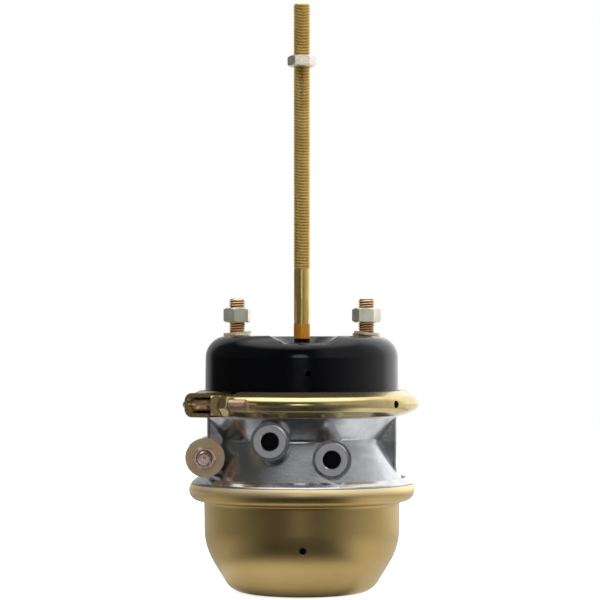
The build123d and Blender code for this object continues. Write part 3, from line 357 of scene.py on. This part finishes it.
def make_stroke_paint():
    light, deep = (0.72, 0.32, 0.03), (0.56, 0.22, 0.018)
    s = Shade("orange_paint", light, metallic=0.35, roughness=0.34)
    s.set("Base Color", s.mix(s.noise(scale=160.0, detail=4.0, rough=0.6), light, deep))
    s.bump(s.noise(scale=900.0, detail=3.0, rough=0.6), strength=0.1, distance=0.0002)
    return s


def make_plastic():
    grey = (0.05, 0.05, 0.055)
    s = Shade("bush_plastic", grey, roughness=0.5)
    s.bump(s.noise(scale=700.0, detail=3.0, rough=0.5), strength=0.1, distance=0.0002)
    return s


def make_fabric_rubber():
    """Rubber with the weave of its fabric showing through, as on a brake chamber's diaphragm."""
    low, high = (0.014, 0.014, 0.015), (0.035, 0.035, 0.036)
    weave_phase = 4200.0  # radians to the metre
    s = Shade("fabric_rubber", low, roughness=0.62)
    xyz = s.parts(s.coords)
    threads = [s.math("SINE", s.math("MULTIPLY", xyz[axis], weave_phase)) for axis in (0, 1)]
    weave = s.math("MULTIPLY", threads[0], threads[1])
    s.set("Base Color", s.mix(s.math("ABSOLUTE", weave), low, high))
    s.bump(weave, strength=0.3, distance=0.0003)
    return s


def make_port_painted_shade():
    """The tapped ports' inside: near-black metal, a painted shade for the deep bores."""
    dark, grey = (0.002, 0.002, 0.002), (0.006, 0.006, 0.006)
    s = Shade("port_painted_shade", dark, roughness=0.45, Specular_IOR_Level=0.2)
    s.set("Base Color", s.mix(s.noise(scale=500.0, detail=3.0, rough=0.5), dark, grey))
    return s


port_painted_shade = make_port_painted_shade()
gold_paint = make_gold_paint()
black_paint = make_black_paint()
casting = make_casting()
rubber = make_rubber()
stroke_paint = make_stroke_paint()
bush_plastic = make_plastic()
fabric_rubber = make_fabric_rubber()
band_zinc = plated("band_zinc", (0.72, 0.58, 0.29), (0.62, 0.49, 0.22), roughness=0.2, metallic=0.97)
rod_zinc = plated(
    "rod_zinc",
    (1.0, 0.75, 0.27),
    (0.88, 0.63, 0.20),
    roughness=0.3,
    metallic=0.95,
    root=(0.40, 0.20, 0.01),
)
stud_zinc = plated(
    "stud_zinc",
    (0.86, 0.66, 0.38),
    (0.74, 0.50, 0.28),
    roughness=0.26,
    metallic=0.78,
    stain=(0.66, 0.40, 0.27),
    root=(0.40, 0.20, 0.11),
)
nut_zinc = plated("nut_zinc", (0.80, 0.78, 0.64), (0.67, 0.66, 0.52), roughness=0.3, metallic=0.76)
jam_zinc = plated("jam_zinc", (0.80, 0.72, 0.62), (0.67, 0.66, 0.55), roughness=0.28, metallic=0.78)
washer_gold = plated(
    "washer_gold",
    (0.95, 0.87, 0.62),
    (0.84, 0.73, 0.46),
    roughness=0.3,
    metallic=0.5,
    stain=(0.60, 0.38, 0.25),
    stain_share=0.3,
)
bolt_zinc = plated(
    "bolt_zinc",
    (0.82, 0.64, 0.49),
    (0.66, 0.49, 0.33),
    roughness=0.24,
    metallic=0.85,
    root=(0.38, 0.23, 0.13),
)
washer_zinc = plated(
    "washer_zinc",
    (0.60, 0.50, 0.29),
    (0.47, 0.41, 0.24),
    roughness=0.34,
    metallic=0.66,
    stain=(0.62, 0.34, 0.25),
)
release_zinc = plated(
    "release_zinc",
    (0.80, 0.61, 0.50),
    (0.66, 0.50, 0.38),
    roughness=0.26,
    metallic=0.8,
    root=(0.26, 0.16, 0.12),
)
spring_steel = plated("spring_steel", (0.24, 0.24, 0.25), (0.16, 0.16, 0.17), roughness=0.4, metallic=0.8)

CAD_LOOKS = {
    "spring_housing": gold_paint,
    "dust_plug": rubber,
    "flange_case": casting,
    "center_bushing": bush_plastic,
    "rod_seals": rubber,
    "bushing_ring": spring_steel,
    "non_pressure_housing": black_paint,
    "rod_guide": rubber,
    "clamp_half_front": band_zinc,
    "clamp_half_rear": band_zinc,
    "clamp_bolts": bolt_zinc,
    "clamp_nuts": band_zinc,
    "mounting_studs": stud_zinc,
    "stud_nuts": nut_zinc,
    "stud_lock_washers": washer_gold,
    "push_rod": rod_zinc,
    "stroke_band": stroke_paint,
    "rod_nut": jam_zinc,
    "push_plate": spring_steel,
    "service_diaphragm": fabric_rubber,
    "parking_diaphragm": fabric_rubber,
    "adapter_rod": spring_steel,
    "reaction_pad": bush_plastic,
    "adapter_plate": spring_steel,
    "pressure_plate": casting,
    "power_spring": spring_steel,
    "return_spring": spring_steel,
    "release_bolt": release_zinc,
    "release_washer": washer_zinc,
    "release_nut": release_zinc,
}
for name, look in CAD_LOOKS.items():
    NODES[name].data.materials.clear()
    NODES[name].data.materials.append(look.mat)


# =================================================================================================
# Pieces with real screw threads
# =================================================================================================
def thread_height(share):
    """The rolled thread's height at a share of its pitch: 0 in the root, 1 on the rounded crest."""
    wave = 0.5 - 0.5 * math.cos(2.0 * math.pi * share)
    return wave**THREAD_ROUNDING


def add_screw(bm, place, length, pitch, crest, root, chamfer=0.0, runout=None, dimple=0.0, around=32):
    """Adds a closed threaded bar along +Z of `place`, its far end chamfered.

    `runout` is the radius of a plain shank that the thread fades into at its near end, and `dimple`
    the radius of a centre mark in its far end.
    """
    spare_turns, dimple_slope = 3, 0.7
    rows = THREAD_STEPS * (math.ceil(length / pitch) + spare_turns)
    layer = bm.verts.layers.float.get(THREAD_DEPTH) or bm.verts.layers.float.new(THREAD_DEPTH)

    def corner(row, column):
        turn = column / around
        raw = pitch * (row / THREAD_STEPS - 1.0 + turn)
        z = min(max(raw, 0.0), length)
        height = thread_height(z / pitch - turn)
        radius = root + (crest - root) * height
        depth = 1.0 - height
        if runout is not None:
            radius = runout + (radius - runout) * min(1.0, z / pitch)
            depth *= min(1.0, z / pitch)
        if chamfer:
            radius = min(radius, crest - chamfer + (length - z))
        angle = 2.0 * math.pi * turn
        vert = bm.verts.new(place @ Vector((radius * math.cos(angle), radius * math.sin(angle), z)))
        vert[layer] = depth
        return vert

    grid = [[corner(row, column) for row in range(rows)] for column in range(around)]
    for column in range(around):
        after = (column + 1) % around
        shift = 0 if after else THREAD_STEPS
        for row in range(rows - 1):
            low = min(row + shift, rows - 1)
            high = min(row + 1 + shift, rows - 1)
            near, far = grid[column], grid[after]
            ring = [near[row], far[low], far[high], near[row + 1]]
            if len(set(ring)) == 4:
                bm.faces.new(ring)
            elif len(set(ring)) == 3:
                bm.faces.new(list(dict.fromkeys(ring)))
    bm.faces.new([grid[column][0] for column in reversed(range(around))])
    end = [grid[column][-1] for column in range(around)]
    if dimple:
        rim = []
        for vert in end:
            local = place.inverted() @ vert.co
            flat = Vector((local.x, local.y, 0.0)).normalized() * dimple
            rim.append(bm.verts.new(place @ Vector((flat.x, flat.y, length))))
        pit = bm.verts.new(place @ Vector((0.0, 0.0, length - dimple_slope * dimple)))
        for i in range(around):
            j = (i + 1) % around
            bm.faces.new([end[i], end[j], rim[j], rim[i]])
            bm.faces.new([rim[i], rim[j], pit])
    else:
        bm.faces.new(end)


def cad_bmesh(node):
    """A welded copy of a CAD node's mesh."""
    bm = bmesh.new()
    bm.from_mesh(NODES[node].data)
    bmesh.ops.remove_doubles(bm, verts=bm.verts[:], dist=WELD)
    return bm


def cut_away(bm, point, direction, keep=lambda co: True):
    """Cuts off what lies beyond a plane, of the solids whose vertices `keep` picks, and closes them."""
    geometry = [v for v in bm.verts if keep(v.co)]
    chosen = set(geometry)
    geometry += [e for e in bm.edges if chosen.issuperset(e.verts)]
    geometry += [f for f in bm.faces if chosen.issuperset(f.verts)]
    cut = bmesh.ops.bisect_plane(
        bm, geom=geometry, dist=MERGE, plane_co=point, plane_no=direction, clear_outer=True
    )
    edges = [e for e in cut["geom_cut"] if isinstance(e, bmesh.types.BMEdge)]
    bmesh.ops.holes_fill(bm, edges=edges, sides=0)


def make_piece(name, bm, look, smooth_angle=SMOOTH_ANGLE):
    """Turns a bmesh into an object of the scene with one material."""
    bmesh.ops.remove_doubles(bm, verts=bm.verts[:], dist=MERGE)
    bmesh.ops.dissolve_degenerate(bm, edges=bm.edges[:], dist=MERGE)
    bmesh.ops.recalc_face_normals(bm, faces=bm.faces[:])
    mesh = bpy.data.meshes.new(name)
    bm.to_mesh(mesh)
    bm.free()
    for attribute in ("custom_normal", "sharp_face", "sharp_edge"):
        if attribute in mesh.attributes:
            mesh.attributes.remove(mesh.attributes[attribute])
    for polygon in mesh.polygons:
        polygon.use_smooth = True
    mesh.set_sharp_from_angle(angle=smooth_angle)
    mesh.materials.clear()
    mesh.materials.append(look.mat)
    piece = bpy.data.objects.new(name, mesh)
    bpy.context.scene.collection.objects.link(piece)
    return piece


def axis_place(origin, direction):
    """A matrix whose +Z runs along a direction from an origin."""
    return Matrix.Translation(origin) @ Vector(direction).to_track_quat("Z", "Y").to_matrix().to_4x4()


def make_push_rod():
    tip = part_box("push_rod")[1][2]
    painted_shade_below = BAND_LOW + SHADE_PAINT_OVERLAP
    bm = cad_bmesh("push_rod")
    cut_away(bm, (0, 0, ROD_THREAD_LOW + THREAD_OVERLAP), (0, 0, 1))
    add_screw(
        bm,
        Matrix.Translation((0, 0, ROD_THREAD_LOW)),
        tip - ROD_THREAD_LOW,
        ROD_PITCH,
        ROD_CREST_R,
        ROD_ROOT_R,
        chamfer=ROD_CHAMFER,
        runout=ROD_SHANK_R,
    )
    piece = make_piece("push_rod_screw", bm, rod_zinc)
    # painted shade: the rod is black below the stroke band, where it goes down into the housing
    piece.data.materials.append(black_paint.mat)
    for polygon in piece.data.polygons:
        if polygon.center.z < painted_shade_below:
            polygon.material_index = 1
    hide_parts("push_rod")
    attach(piece, "push_rod")


def make_studs():
    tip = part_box("mounting_studs")[1][2]
    bm = cad_bmesh("mounting_studs")
    cut_away(bm, (0, 0, STUD_THREAD_LOW + THREAD_OVERLAP), (0, 0, 1))
    for side, turn in zip((-1.0, 1.0), STUD_TURNS):
        place = Matrix.Translation((side * STUD_X, 0, STUD_THREAD_LOW)) @ Matrix.Rotation(turn, 4, "Z")
        add_screw(
            bm,
            place,
            tip - STUD_THREAD_LOW,
            STUD_PITCH,
            STUD_CREST_R,
            STUD_ROOT_R,
            chamfer=STUD_CHAMFER,
        )
    piece = make_piece("stud_screws", bm, stud_zinc)
    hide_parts("mounting_studs")
    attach(piece, "chamber")


def make_clamp_bolts():
    ring_low, ring_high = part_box("clamp_half_front")
    height = (ring_low[2] + ring_high[2]) / 2.0
    bm = cad_bmesh("clamp_bolts")
    for side in (1.0, -1.0):
        out = Vector((-math.cos(CLAMP_BOLT_ANGLE), -math.sin(CLAMP_BOLT_ANGLE), 0.0)) * side
        along = Vector((math.sin(CLAMP_BOLT_ANGLE), -math.cos(CLAMP_BOLT_ANGLE), 0.0)) * side
        foot = out * CLAMP_BOLT_LINE + Vector((0.0, 0.0, height))
        start = foot + along * (CLAMP_BOLT_END - CLAMP_THREAD)
        cut_away(bm, start + along * THREAD_OVERLAP, along, keep=lambda co: co.dot(out) > 0.0)
        add_screw(
            bm,
            axis_place(start, along),
            CLAMP_THREAD,
            CLAMP_PITCH,
            CLAMP_CREST_R,
            CLAMP_ROOT_R,
            chamfer=CLAMP_CHAMFER,
            around=24,
        )
    piece = make_piece("clamp_screws", bm, bolt_zinc)
    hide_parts("clamp_bolts")
    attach(piece, "chamber")


def make_release_bolt():
    nut_low, nut_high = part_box("release_nut")
    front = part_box("release_bolt")[0][1]
    start = Vector(
        ((nut_low[0] + nut_high[0]) / 2.0, front + RELEASE_THREAD, (nut_low[2] + nut_high[2]) / 2.0)
    )
    bm = cad_bmesh("release_bolt")
    cut_away(bm, start - Vector((0, THREAD_OVERLAP, 0)), (0, -1, 0))
    add_screw(
        bm,
        axis_place(start, (0, -1, 0)),
        RELEASE_THREAD,
        RELEASE_PITCH,
        RELEASE_CREST_R,
        RELEASE_ROOT_R,
        chamfer=RELEASE_CHAMFER,
        dimple=RELEASE_DIMPLE_R,
    )
    piece = make_piece("release_screw", bm, release_zinc)
    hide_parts("release_bolt")
    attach(piece, "release_bolt")


def add_tapped_hole(bm, place, depth, pitch, root, crest, around=40):
    """Adds a closed cup along +Z of `place`, its inner wall a screw thread."""
    wall, bottom, drill_tip = 0.05 * MM, 1.0 * MM, 0.3
    rows = math.ceil(depth / pitch * THREAD_STEPS)

    def point(radius, column, z):
        angle = 2.0 * math.pi * column / around
        return bm.verts.new(place @ Vector((radius * math.cos(angle), radius * math.sin(angle), z)))

    def inner_radius(row, column):
        share = row / THREAD_STEPS - column / around
        return root - (root - crest) * thread_height(share)

    rings = [[point(root + wall, column, 0.0) for column in range(around)]]
    for row in range(rows + 1):
        z = depth * row / rows
        rings.append([point(inner_radius(row, column), column, z) for column in range(around)])
    rings.append([point(drill_tip * crest, column, depth) for column in range(around)])
    rings.append([point(root + wall, column, depth + bottom) for column in range(around)])
    for ring, following in zip(rings, rings[1:-1]):
        for i in range(around):
            j = (i + 1) % around
            bm.faces.new([ring[i], ring[j], following[j], following[i]])
    for i in range(around):
        j = (i + 1) % around
        bm.faces.new([rings[-1][i], rings[-1][j], rings[0][j], rings[0][i]])
    bm.faces.new(rings[-2])
    bm.faces.new(rings[-1])


def make_port_threads():
    bm = bmesh.new()
    for middle, inward in port_mounts():
        place = axis_place(middle + inward * (PORT_THREAD_START - PORT_MOUNT_DEPTH), inward)
        add_tapped_hole(bm, place, PORT_THREAD, PORT_PITCH, PORT_ROOT_R, PORT_CREST_R)
    # the port threads are near-black: painted shade inside the bores
    piece = make_piece("port_threads", bm, port_painted_shade)
    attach(piece, "chamber")


make_push_rod()
make_studs()
make_clamp_bolts()
make_release_bolt()
make_port_threads()


# =================================================================================================
# Diaphragms and springs, as pieces of their own
# =================================================================================================
def box_heights(node):
    low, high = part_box(node)
    return low[2], high[2]


def eased(value, low, high):
    """A value's place between two limits, eased at both ends."""
    share = min(max((value - low) / (high - low), 0.0), 1.0)
    return share * share * (3.0 - 2.0 * share)


def narrow_barrel(bm):
    """Draws in the power spring's middle coils, so that they stay in the cup's round foot when pressed."""
    for vert in bm.verts:
        share = eased(vert.co.z, *BARREL_FOOT) * eased(vert.co.z, *BARREL_HEAD)
        vert.co.x *= 1.0 - BARREL_CUT * share
        vert.co.y *= 1.0 - BARREL_CUT * share


def spring_piece(name, node, bodies, start, end, away=None, reshape=None):
    """A coil cut from a CAD spring, as a piece of its own.

    With `away`, the piece is what is left of the coil when everything that way from the end that
    `parking_piston` carries is cut off. `reshape` changes the coil's mesh first.
    """
    bm = cad_bmesh(node)
    if reshape:
        reshape(bm)
    if away:
        cut_away(bm, end if bodies[1] == "parking_piston" else start, away)
    piece = make_piece(name, bm, spring_steel, SPRING_SMOOTH_ANGLE)
    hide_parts(node)
    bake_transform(piece)


def diaphragm_piece(name, node):
    """A diaphragm, copied from its CAD node as a piece of its own."""
    piece = make_piece(name, cad_bmesh(node), fabric_rubber, SHEET_SMOOTH_ANGLE)
    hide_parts(node)
    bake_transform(piece)


spring_low, spring_high = box_heights("power_spring")
spring_piece(
    "power_spring_coil",
    "power_spring",
    ("chamber", "parking_piston"),
    (0, 0, spring_low),
    (0, 0, spring_high),
    reshape=narrow_barrel,
)
spring_low, spring_high = box_heights("return_spring")
spring_split = spring_low + RETURN_SPLIT * (spring_high - spring_low)
spring_piece(
    "return_spring_coil",
    "return_spring",
    ("chamber", "parking_piston"),
    (0, 0, spring_high),
    (0, 0, spring_split),
    away=(0, 0, -1),
)
spring_piece(
    "return_spring_foot",
    "return_spring",
    ("parking_piston", "push_rod"),
    (0, 0, spring_split),
    (0, 0, spring_low),
    away=(0, 0, 1),
)
diaphragm_piece("service_diaphragm_sheet", "service_diaphragm")
diaphragm_piece("parking_diaphragm_sheet", "parking_diaphragm")

# =================================================================================================
# Backdrop, lights and camera
# =================================================================================================
# What gloss shows of the studio. A spread or a panel holds two cosines of the angle round the
# push rod's axis from straight ahead, and an edge two heights, as sines of the elevation.
FRONT_GLOW = 0.03  # the dark studio straight in front
RIGHT_GLOW = 1.3  # level with the object, towards its right and behind
RIGHT_SPREAD_GLOW = 0.7 * RIGHT_GLOW  # nearer to straight ahead
LEFT_GLOW = 0.4
SOFTBOX_GLOW = 0.07  # above the horizon, on both sides
RIGHT_SOFTBOX_GLOW = 0.45  # above the horizon, right of straight ahead
STRIP_GLOW = 2.0  # a small light above the camera and just left of it
CEILING_GLOW = 2.1
BACKDROP_GLOW = 0.5  # behind the object
SOFTBOX_EDGE = (0.0, 0.10)
LIGHT_EDGE = (0.03, 0.08)  # the lower edge of the strip and the right softbox
CEILING_EDGE = (0.64, 0.92)
BACKDROP_EDGE = (0.75, 1.0)  # share of the way straight back
MIDLINE = (-0.1, 0.1)  # of x, where left turns into right
RIGHT_SPREAD = (0.95, -0.6)
RIGHT_PANEL = (-0.15, -0.6)
RIGHT_SOFTBOX_SPREAD = (1.0, 0.85)
LEFT_SPREAD = (0.97, 0.6)
LEFT_PANEL = (-0.65, -0.85)
OVER_ONE = 1.0001  # keeps the level share of a direction above 0, straight up and straight down
STRIP_AZIMUTH = math.radians(-2.0)
STRIP_HEIGHT = 0.13  # above the horizon, at a distance of one
STRIP_SPREAD = (0.982, 0.995)  # cosine of the angle from the strip's middle

# What gloss shows of the white table that the object stands on.
FLOOR_NEAR = 0.85  # the ring of table round the object's foot
# painted shadow: gloss sees the table dark inside FLOOR_RISE, under the object
FLOOR_RISE = (0.05, 0.095)  # metres from the axis
FLOOR_FALL = (0.095, 0.14)
MIDDLE_LEFT = 0.55  # the table inside FLOOR_BORDER, on either side
MIDDLE_RIGHT = 0.85
MIDDLE_LEFT_SPREAD = (0.93, 0.1)
MIDDLE_RIGHT_SPREAD = (0.94, 0.5)
FLOOR_BORDER = (0.3, 0.5)
FLOOR_FRONT = 0.06  # the table outside FLOOR_BORDER, straight ahead
FLOOR_LEFT = 0.66  # and towards the back on either side
FLOOR_RIGHT = 1.0
FLOOR_SPREAD = (1.0, -0.7)

# The table and the fill lights themselves.
FLOOR_SIZE = 6.0
FLOOR_DROP = 0.4 * MM  # below the object's foot
FLOOR_GREY = 0.7
FLOOR_WHITE = 0.8  # what the table adds to its lit grey, as the camera sees it
FILL_SIZE = 1.6
FILL_DISTANCE = 1.8
FILL_HEIGHT = 1.2
FILL_AIM = 0.2  # height that the lights point at

world = bpy.data.worlds.new("studio")
bpy.context.scene.world = world
world.use_nodes = True
sky = Nodes(world.node_tree)
sky.tree.nodes.clear()
direction = sky.node("ShaderNodeTexCoord").outputs["Generated"]
way = sky.parts(direction)
level = sky.math("SQRT", sky.math("SUBTRACT", OVER_ONE, sky.math("MULTIPLY", way["Z"], way["Z"])))
ahead = sky.math("DIVIDE", sky.math("MULTIPLY", way["Y"], -1.0), level)
on_right = sky.smooth(way["X"], *MIDLINE)
above_edge = sky.smooth(way["Z"], *LIGHT_EDGE)
right_spread = sky.ramp(ahead, *RIGHT_SPREAD, FRONT_GLOW, RIGHT_SPREAD_GLOW)
right_panel = sky.smooth(ahead, *RIGHT_PANEL, 0.0, RIGHT_GLOW)
right = sky.math("MULTIPLY", on_right, sky.math("MAXIMUM", right_spread, right_panel))
left = sky.smooth(ahead, *LEFT_PANEL, FRONT_GLOW, LEFT_GLOW)
right_beside = sky.smooth(ahead, *RIGHT_SOFTBOX_SPREAD, 0.0, RIGHT_SOFTBOX_GLOW)
right_softbox = sky.math("MULTIPLY", sky.math("MULTIPLY", on_right, right_beside), above_edge)
beside = sky.smooth(ahead, *LEFT_SPREAD, 0.0, SOFTBOX_GLOW)
softbox = sky.math("MULTIPLY", beside, sky.smooth(way["Z"], *SOFTBOX_EDGE))
strip_way = Vector((math.sin(STRIP_AZIMUTH), -math.cos(STRIP_AZIMUTH), STRIP_HEIGHT)).normalized()
strip_cosine = sky.vector("DOT_PRODUCT", direction, strip_way, "Value")
strip = sky.math("MULTIPLY", sky.smooth(strip_cosine, *STRIP_SPREAD, 0.0, STRIP_GLOW), above_edge)
ceiling = sky.smooth(way["Z"], *CEILING_EDGE, FRONT_GLOW, CEILING_GLOW)
backdrop = sky.smooth(way["Y"], *BACKDROP_EDGE, 0.0, BACKDROP_GLOW)
glow = ceiling
for part in (backdrop, right, left, softbox, right_softbox, strip):
    glow = sky.math("MAXIMUM", glow, part)
path = sky.node("ShaderNodeLightPath").outputs
lit = sky.node("ShaderNodeBackground")
seen = sky.node("ShaderNodeBackground")
sky.feed(lit.inputs["Strength"], glow)
sky.feed(lit.inputs["Color"], (1.0, 1.0, 1.0))
sky.feed(seen.inputs["Color"], (1.0, 1.0, 1.0))
surface = sky.mix_shader(path["Is Camera Ray"], lit.outputs[0], seen.outputs[0])
sky.feed(sky.node("ShaderNodeOutputWorld").inputs["Surface"], surface)


def table_in_gloss(net):
    """How bright gloss sees the table at a point of it."""
    place = net.node("ShaderNodeTexCoord").outputs["Object"]
    xyz = net.parts(place)
    reach = net.vector("LENGTH", place, output="Value")
    ahead = net.math("DIVIDE", net.math("MULTIPLY", xyz["Y"], -1.0), reach)
    on_right = net.smooth(xyz["X"], *MIDLINE)

    # painted shadow: the table under the object stays dark in gloss
    near_rise = net.smooth(reach, *FLOOR_RISE, 0.0, FLOOR_NEAR)
    near = net.math("MULTIPLY", near_rise, net.smooth(reach, *FLOOR_FALL, 1.0, 0.0))

    far_right = net.math("MULTIPLY", on_right, net.ramp(ahead, *FLOOR_SPREAD, FLOOR_FRONT, FLOOR_RIGHT))
    far_left = net.ramp(ahead, *FLOOR_SPREAD, FLOOR_FRONT, FLOOR_LEFT)
    far_sides = net.math("MAXIMUM", far_right, far_left)
    far = net.math("MULTIPLY", far_sides, net.smooth(reach, *FLOOR_BORDER))

    middle_right = net.smooth(ahead, *MIDDLE_RIGHT_SPREAD, FRONT_GLOW, MIDDLE_RIGHT)
    middle_left = net.smooth(ahead, *MIDDLE_LEFT_SPREAD, FRONT_GLOW, MIDDLE_LEFT)
    middle_sides = net.math("MAXIMUM", net.math("MULTIPLY", on_right, middle_right), middle_left)
    middle = net.math("MULTIPLY", middle_sides, net.smooth(reach, *FLOOR_BORDER[::-1]))
    return net.math("MAXIMUM", near, net.math("MAXIMUM", middle, far))


def white_floor():
    """A floor that the camera sees as white with a faint shadow, and gloss as a white table."""
    bpy.ops.mesh.primitive_plane_add(size=FLOOR_SIZE, location=(0, 0, -FLOOR_DROP))
    floor = bpy.context.object
    floor.name = "floor"
    mat = bpy.data.materials.new("floor")
    mat.use_nodes = True
    mat.cycles.emission_sampling = "NONE"
    net = Nodes(mat.node_tree)
    net.tree.nodes.clear()
    diffuse = net.node("ShaderNodeBsdfDiffuse")
    diffuse.inputs["Color"].default_value = (FLOOR_GREY, FLOOR_GREY, FLOOR_GREY, 1.0)
    white = net.node("ShaderNodeEmission")
    white.inputs["Strength"].default_value = FLOOR_WHITE
    both = net.node("ShaderNodeAddShader")
    net.feed(both.inputs[0], diffuse.outputs[0])
    net.feed(both.inputs[1], white.outputs[0])
    mirror = net.node("ShaderNodeEmission")
    net.feed(mirror.inputs["Strength"], table_in_gloss(net))
    rays = net.node("ShaderNodeLightPath").outputs
    gloss = net.mix_shader(rays["Is Glossy Ray"], diffuse.outputs[0], mirror.outputs[0])
    out = net.mix_shader(rays["Is Camera Ray"], gloss, both.outputs[0])
    net.feed(net.node("ShaderNodeOutputMaterial").inputs["Surface"], out)
    floor.data.materials.append(mat)
    return floor


white_floor()


def fill_light(name, azimuth, power):
    """A large soft light that reaches matt surfaces only, so that it leaves no patch on the gloss."""
    data = bpy.data.lights.new(name, "AREA")
    data.shape = "SQUARE"
    data.size = FILL_SIZE
    data.energy = power
    light = bpy.data.objects.new(name, data)
    bpy.context.scene.collection.objects.link(light)
    turn = math.radians(azimuth)
    light.location = (FILL_DISTANCE * math.sin(turn), -FILL_DISTANCE * math.cos(turn), FILL_HEIGHT)
    aim = Vector((0, 0, FILL_AIM))
    light.rotation_euler = (aim - light.location).to_track_quat("-Z", "Y").to_euler()
    light.visible_glossy = False


for name, azimuth, power in (
    ("front_fill", 20.0, 20.0),
    ("rear_fill", 200.0, 20.0),
    ("right_fill", 95.0, 9.0),
    ("left_fill", 265.0, 4.0),
):
    fill_light(name, azimuth, power)

cam_data = bpy.data.cameras.new("camera")
cam_data.sensor_width = SENSOR_MM
cam_data.lens = SENSOR_MM * EYE_DISTANCE / (PHOTO_PX * SCALE_MM_PX * MM)
camera = bpy.data.objects.new("camera", cam_data)
bpy.context.scene.collection.objects.link(camera)
eye_x = -(AXIS_PX - PHOTO_PX / 2.0) * SCALE_MM_PX * MM
camera.location = (eye_x, -EYE_DISTANCE, EYE_HEIGHT)
aim = Vector((eye_x, 0.0, AIM_HEIGHT))
camera.rotation_euler = (aim - camera.location).to_track_quat("-Z", "Y").to_euler()
bpy.context.scene.camera = camera
bpy.context.scene.view_settings.view_transform = "Standard"
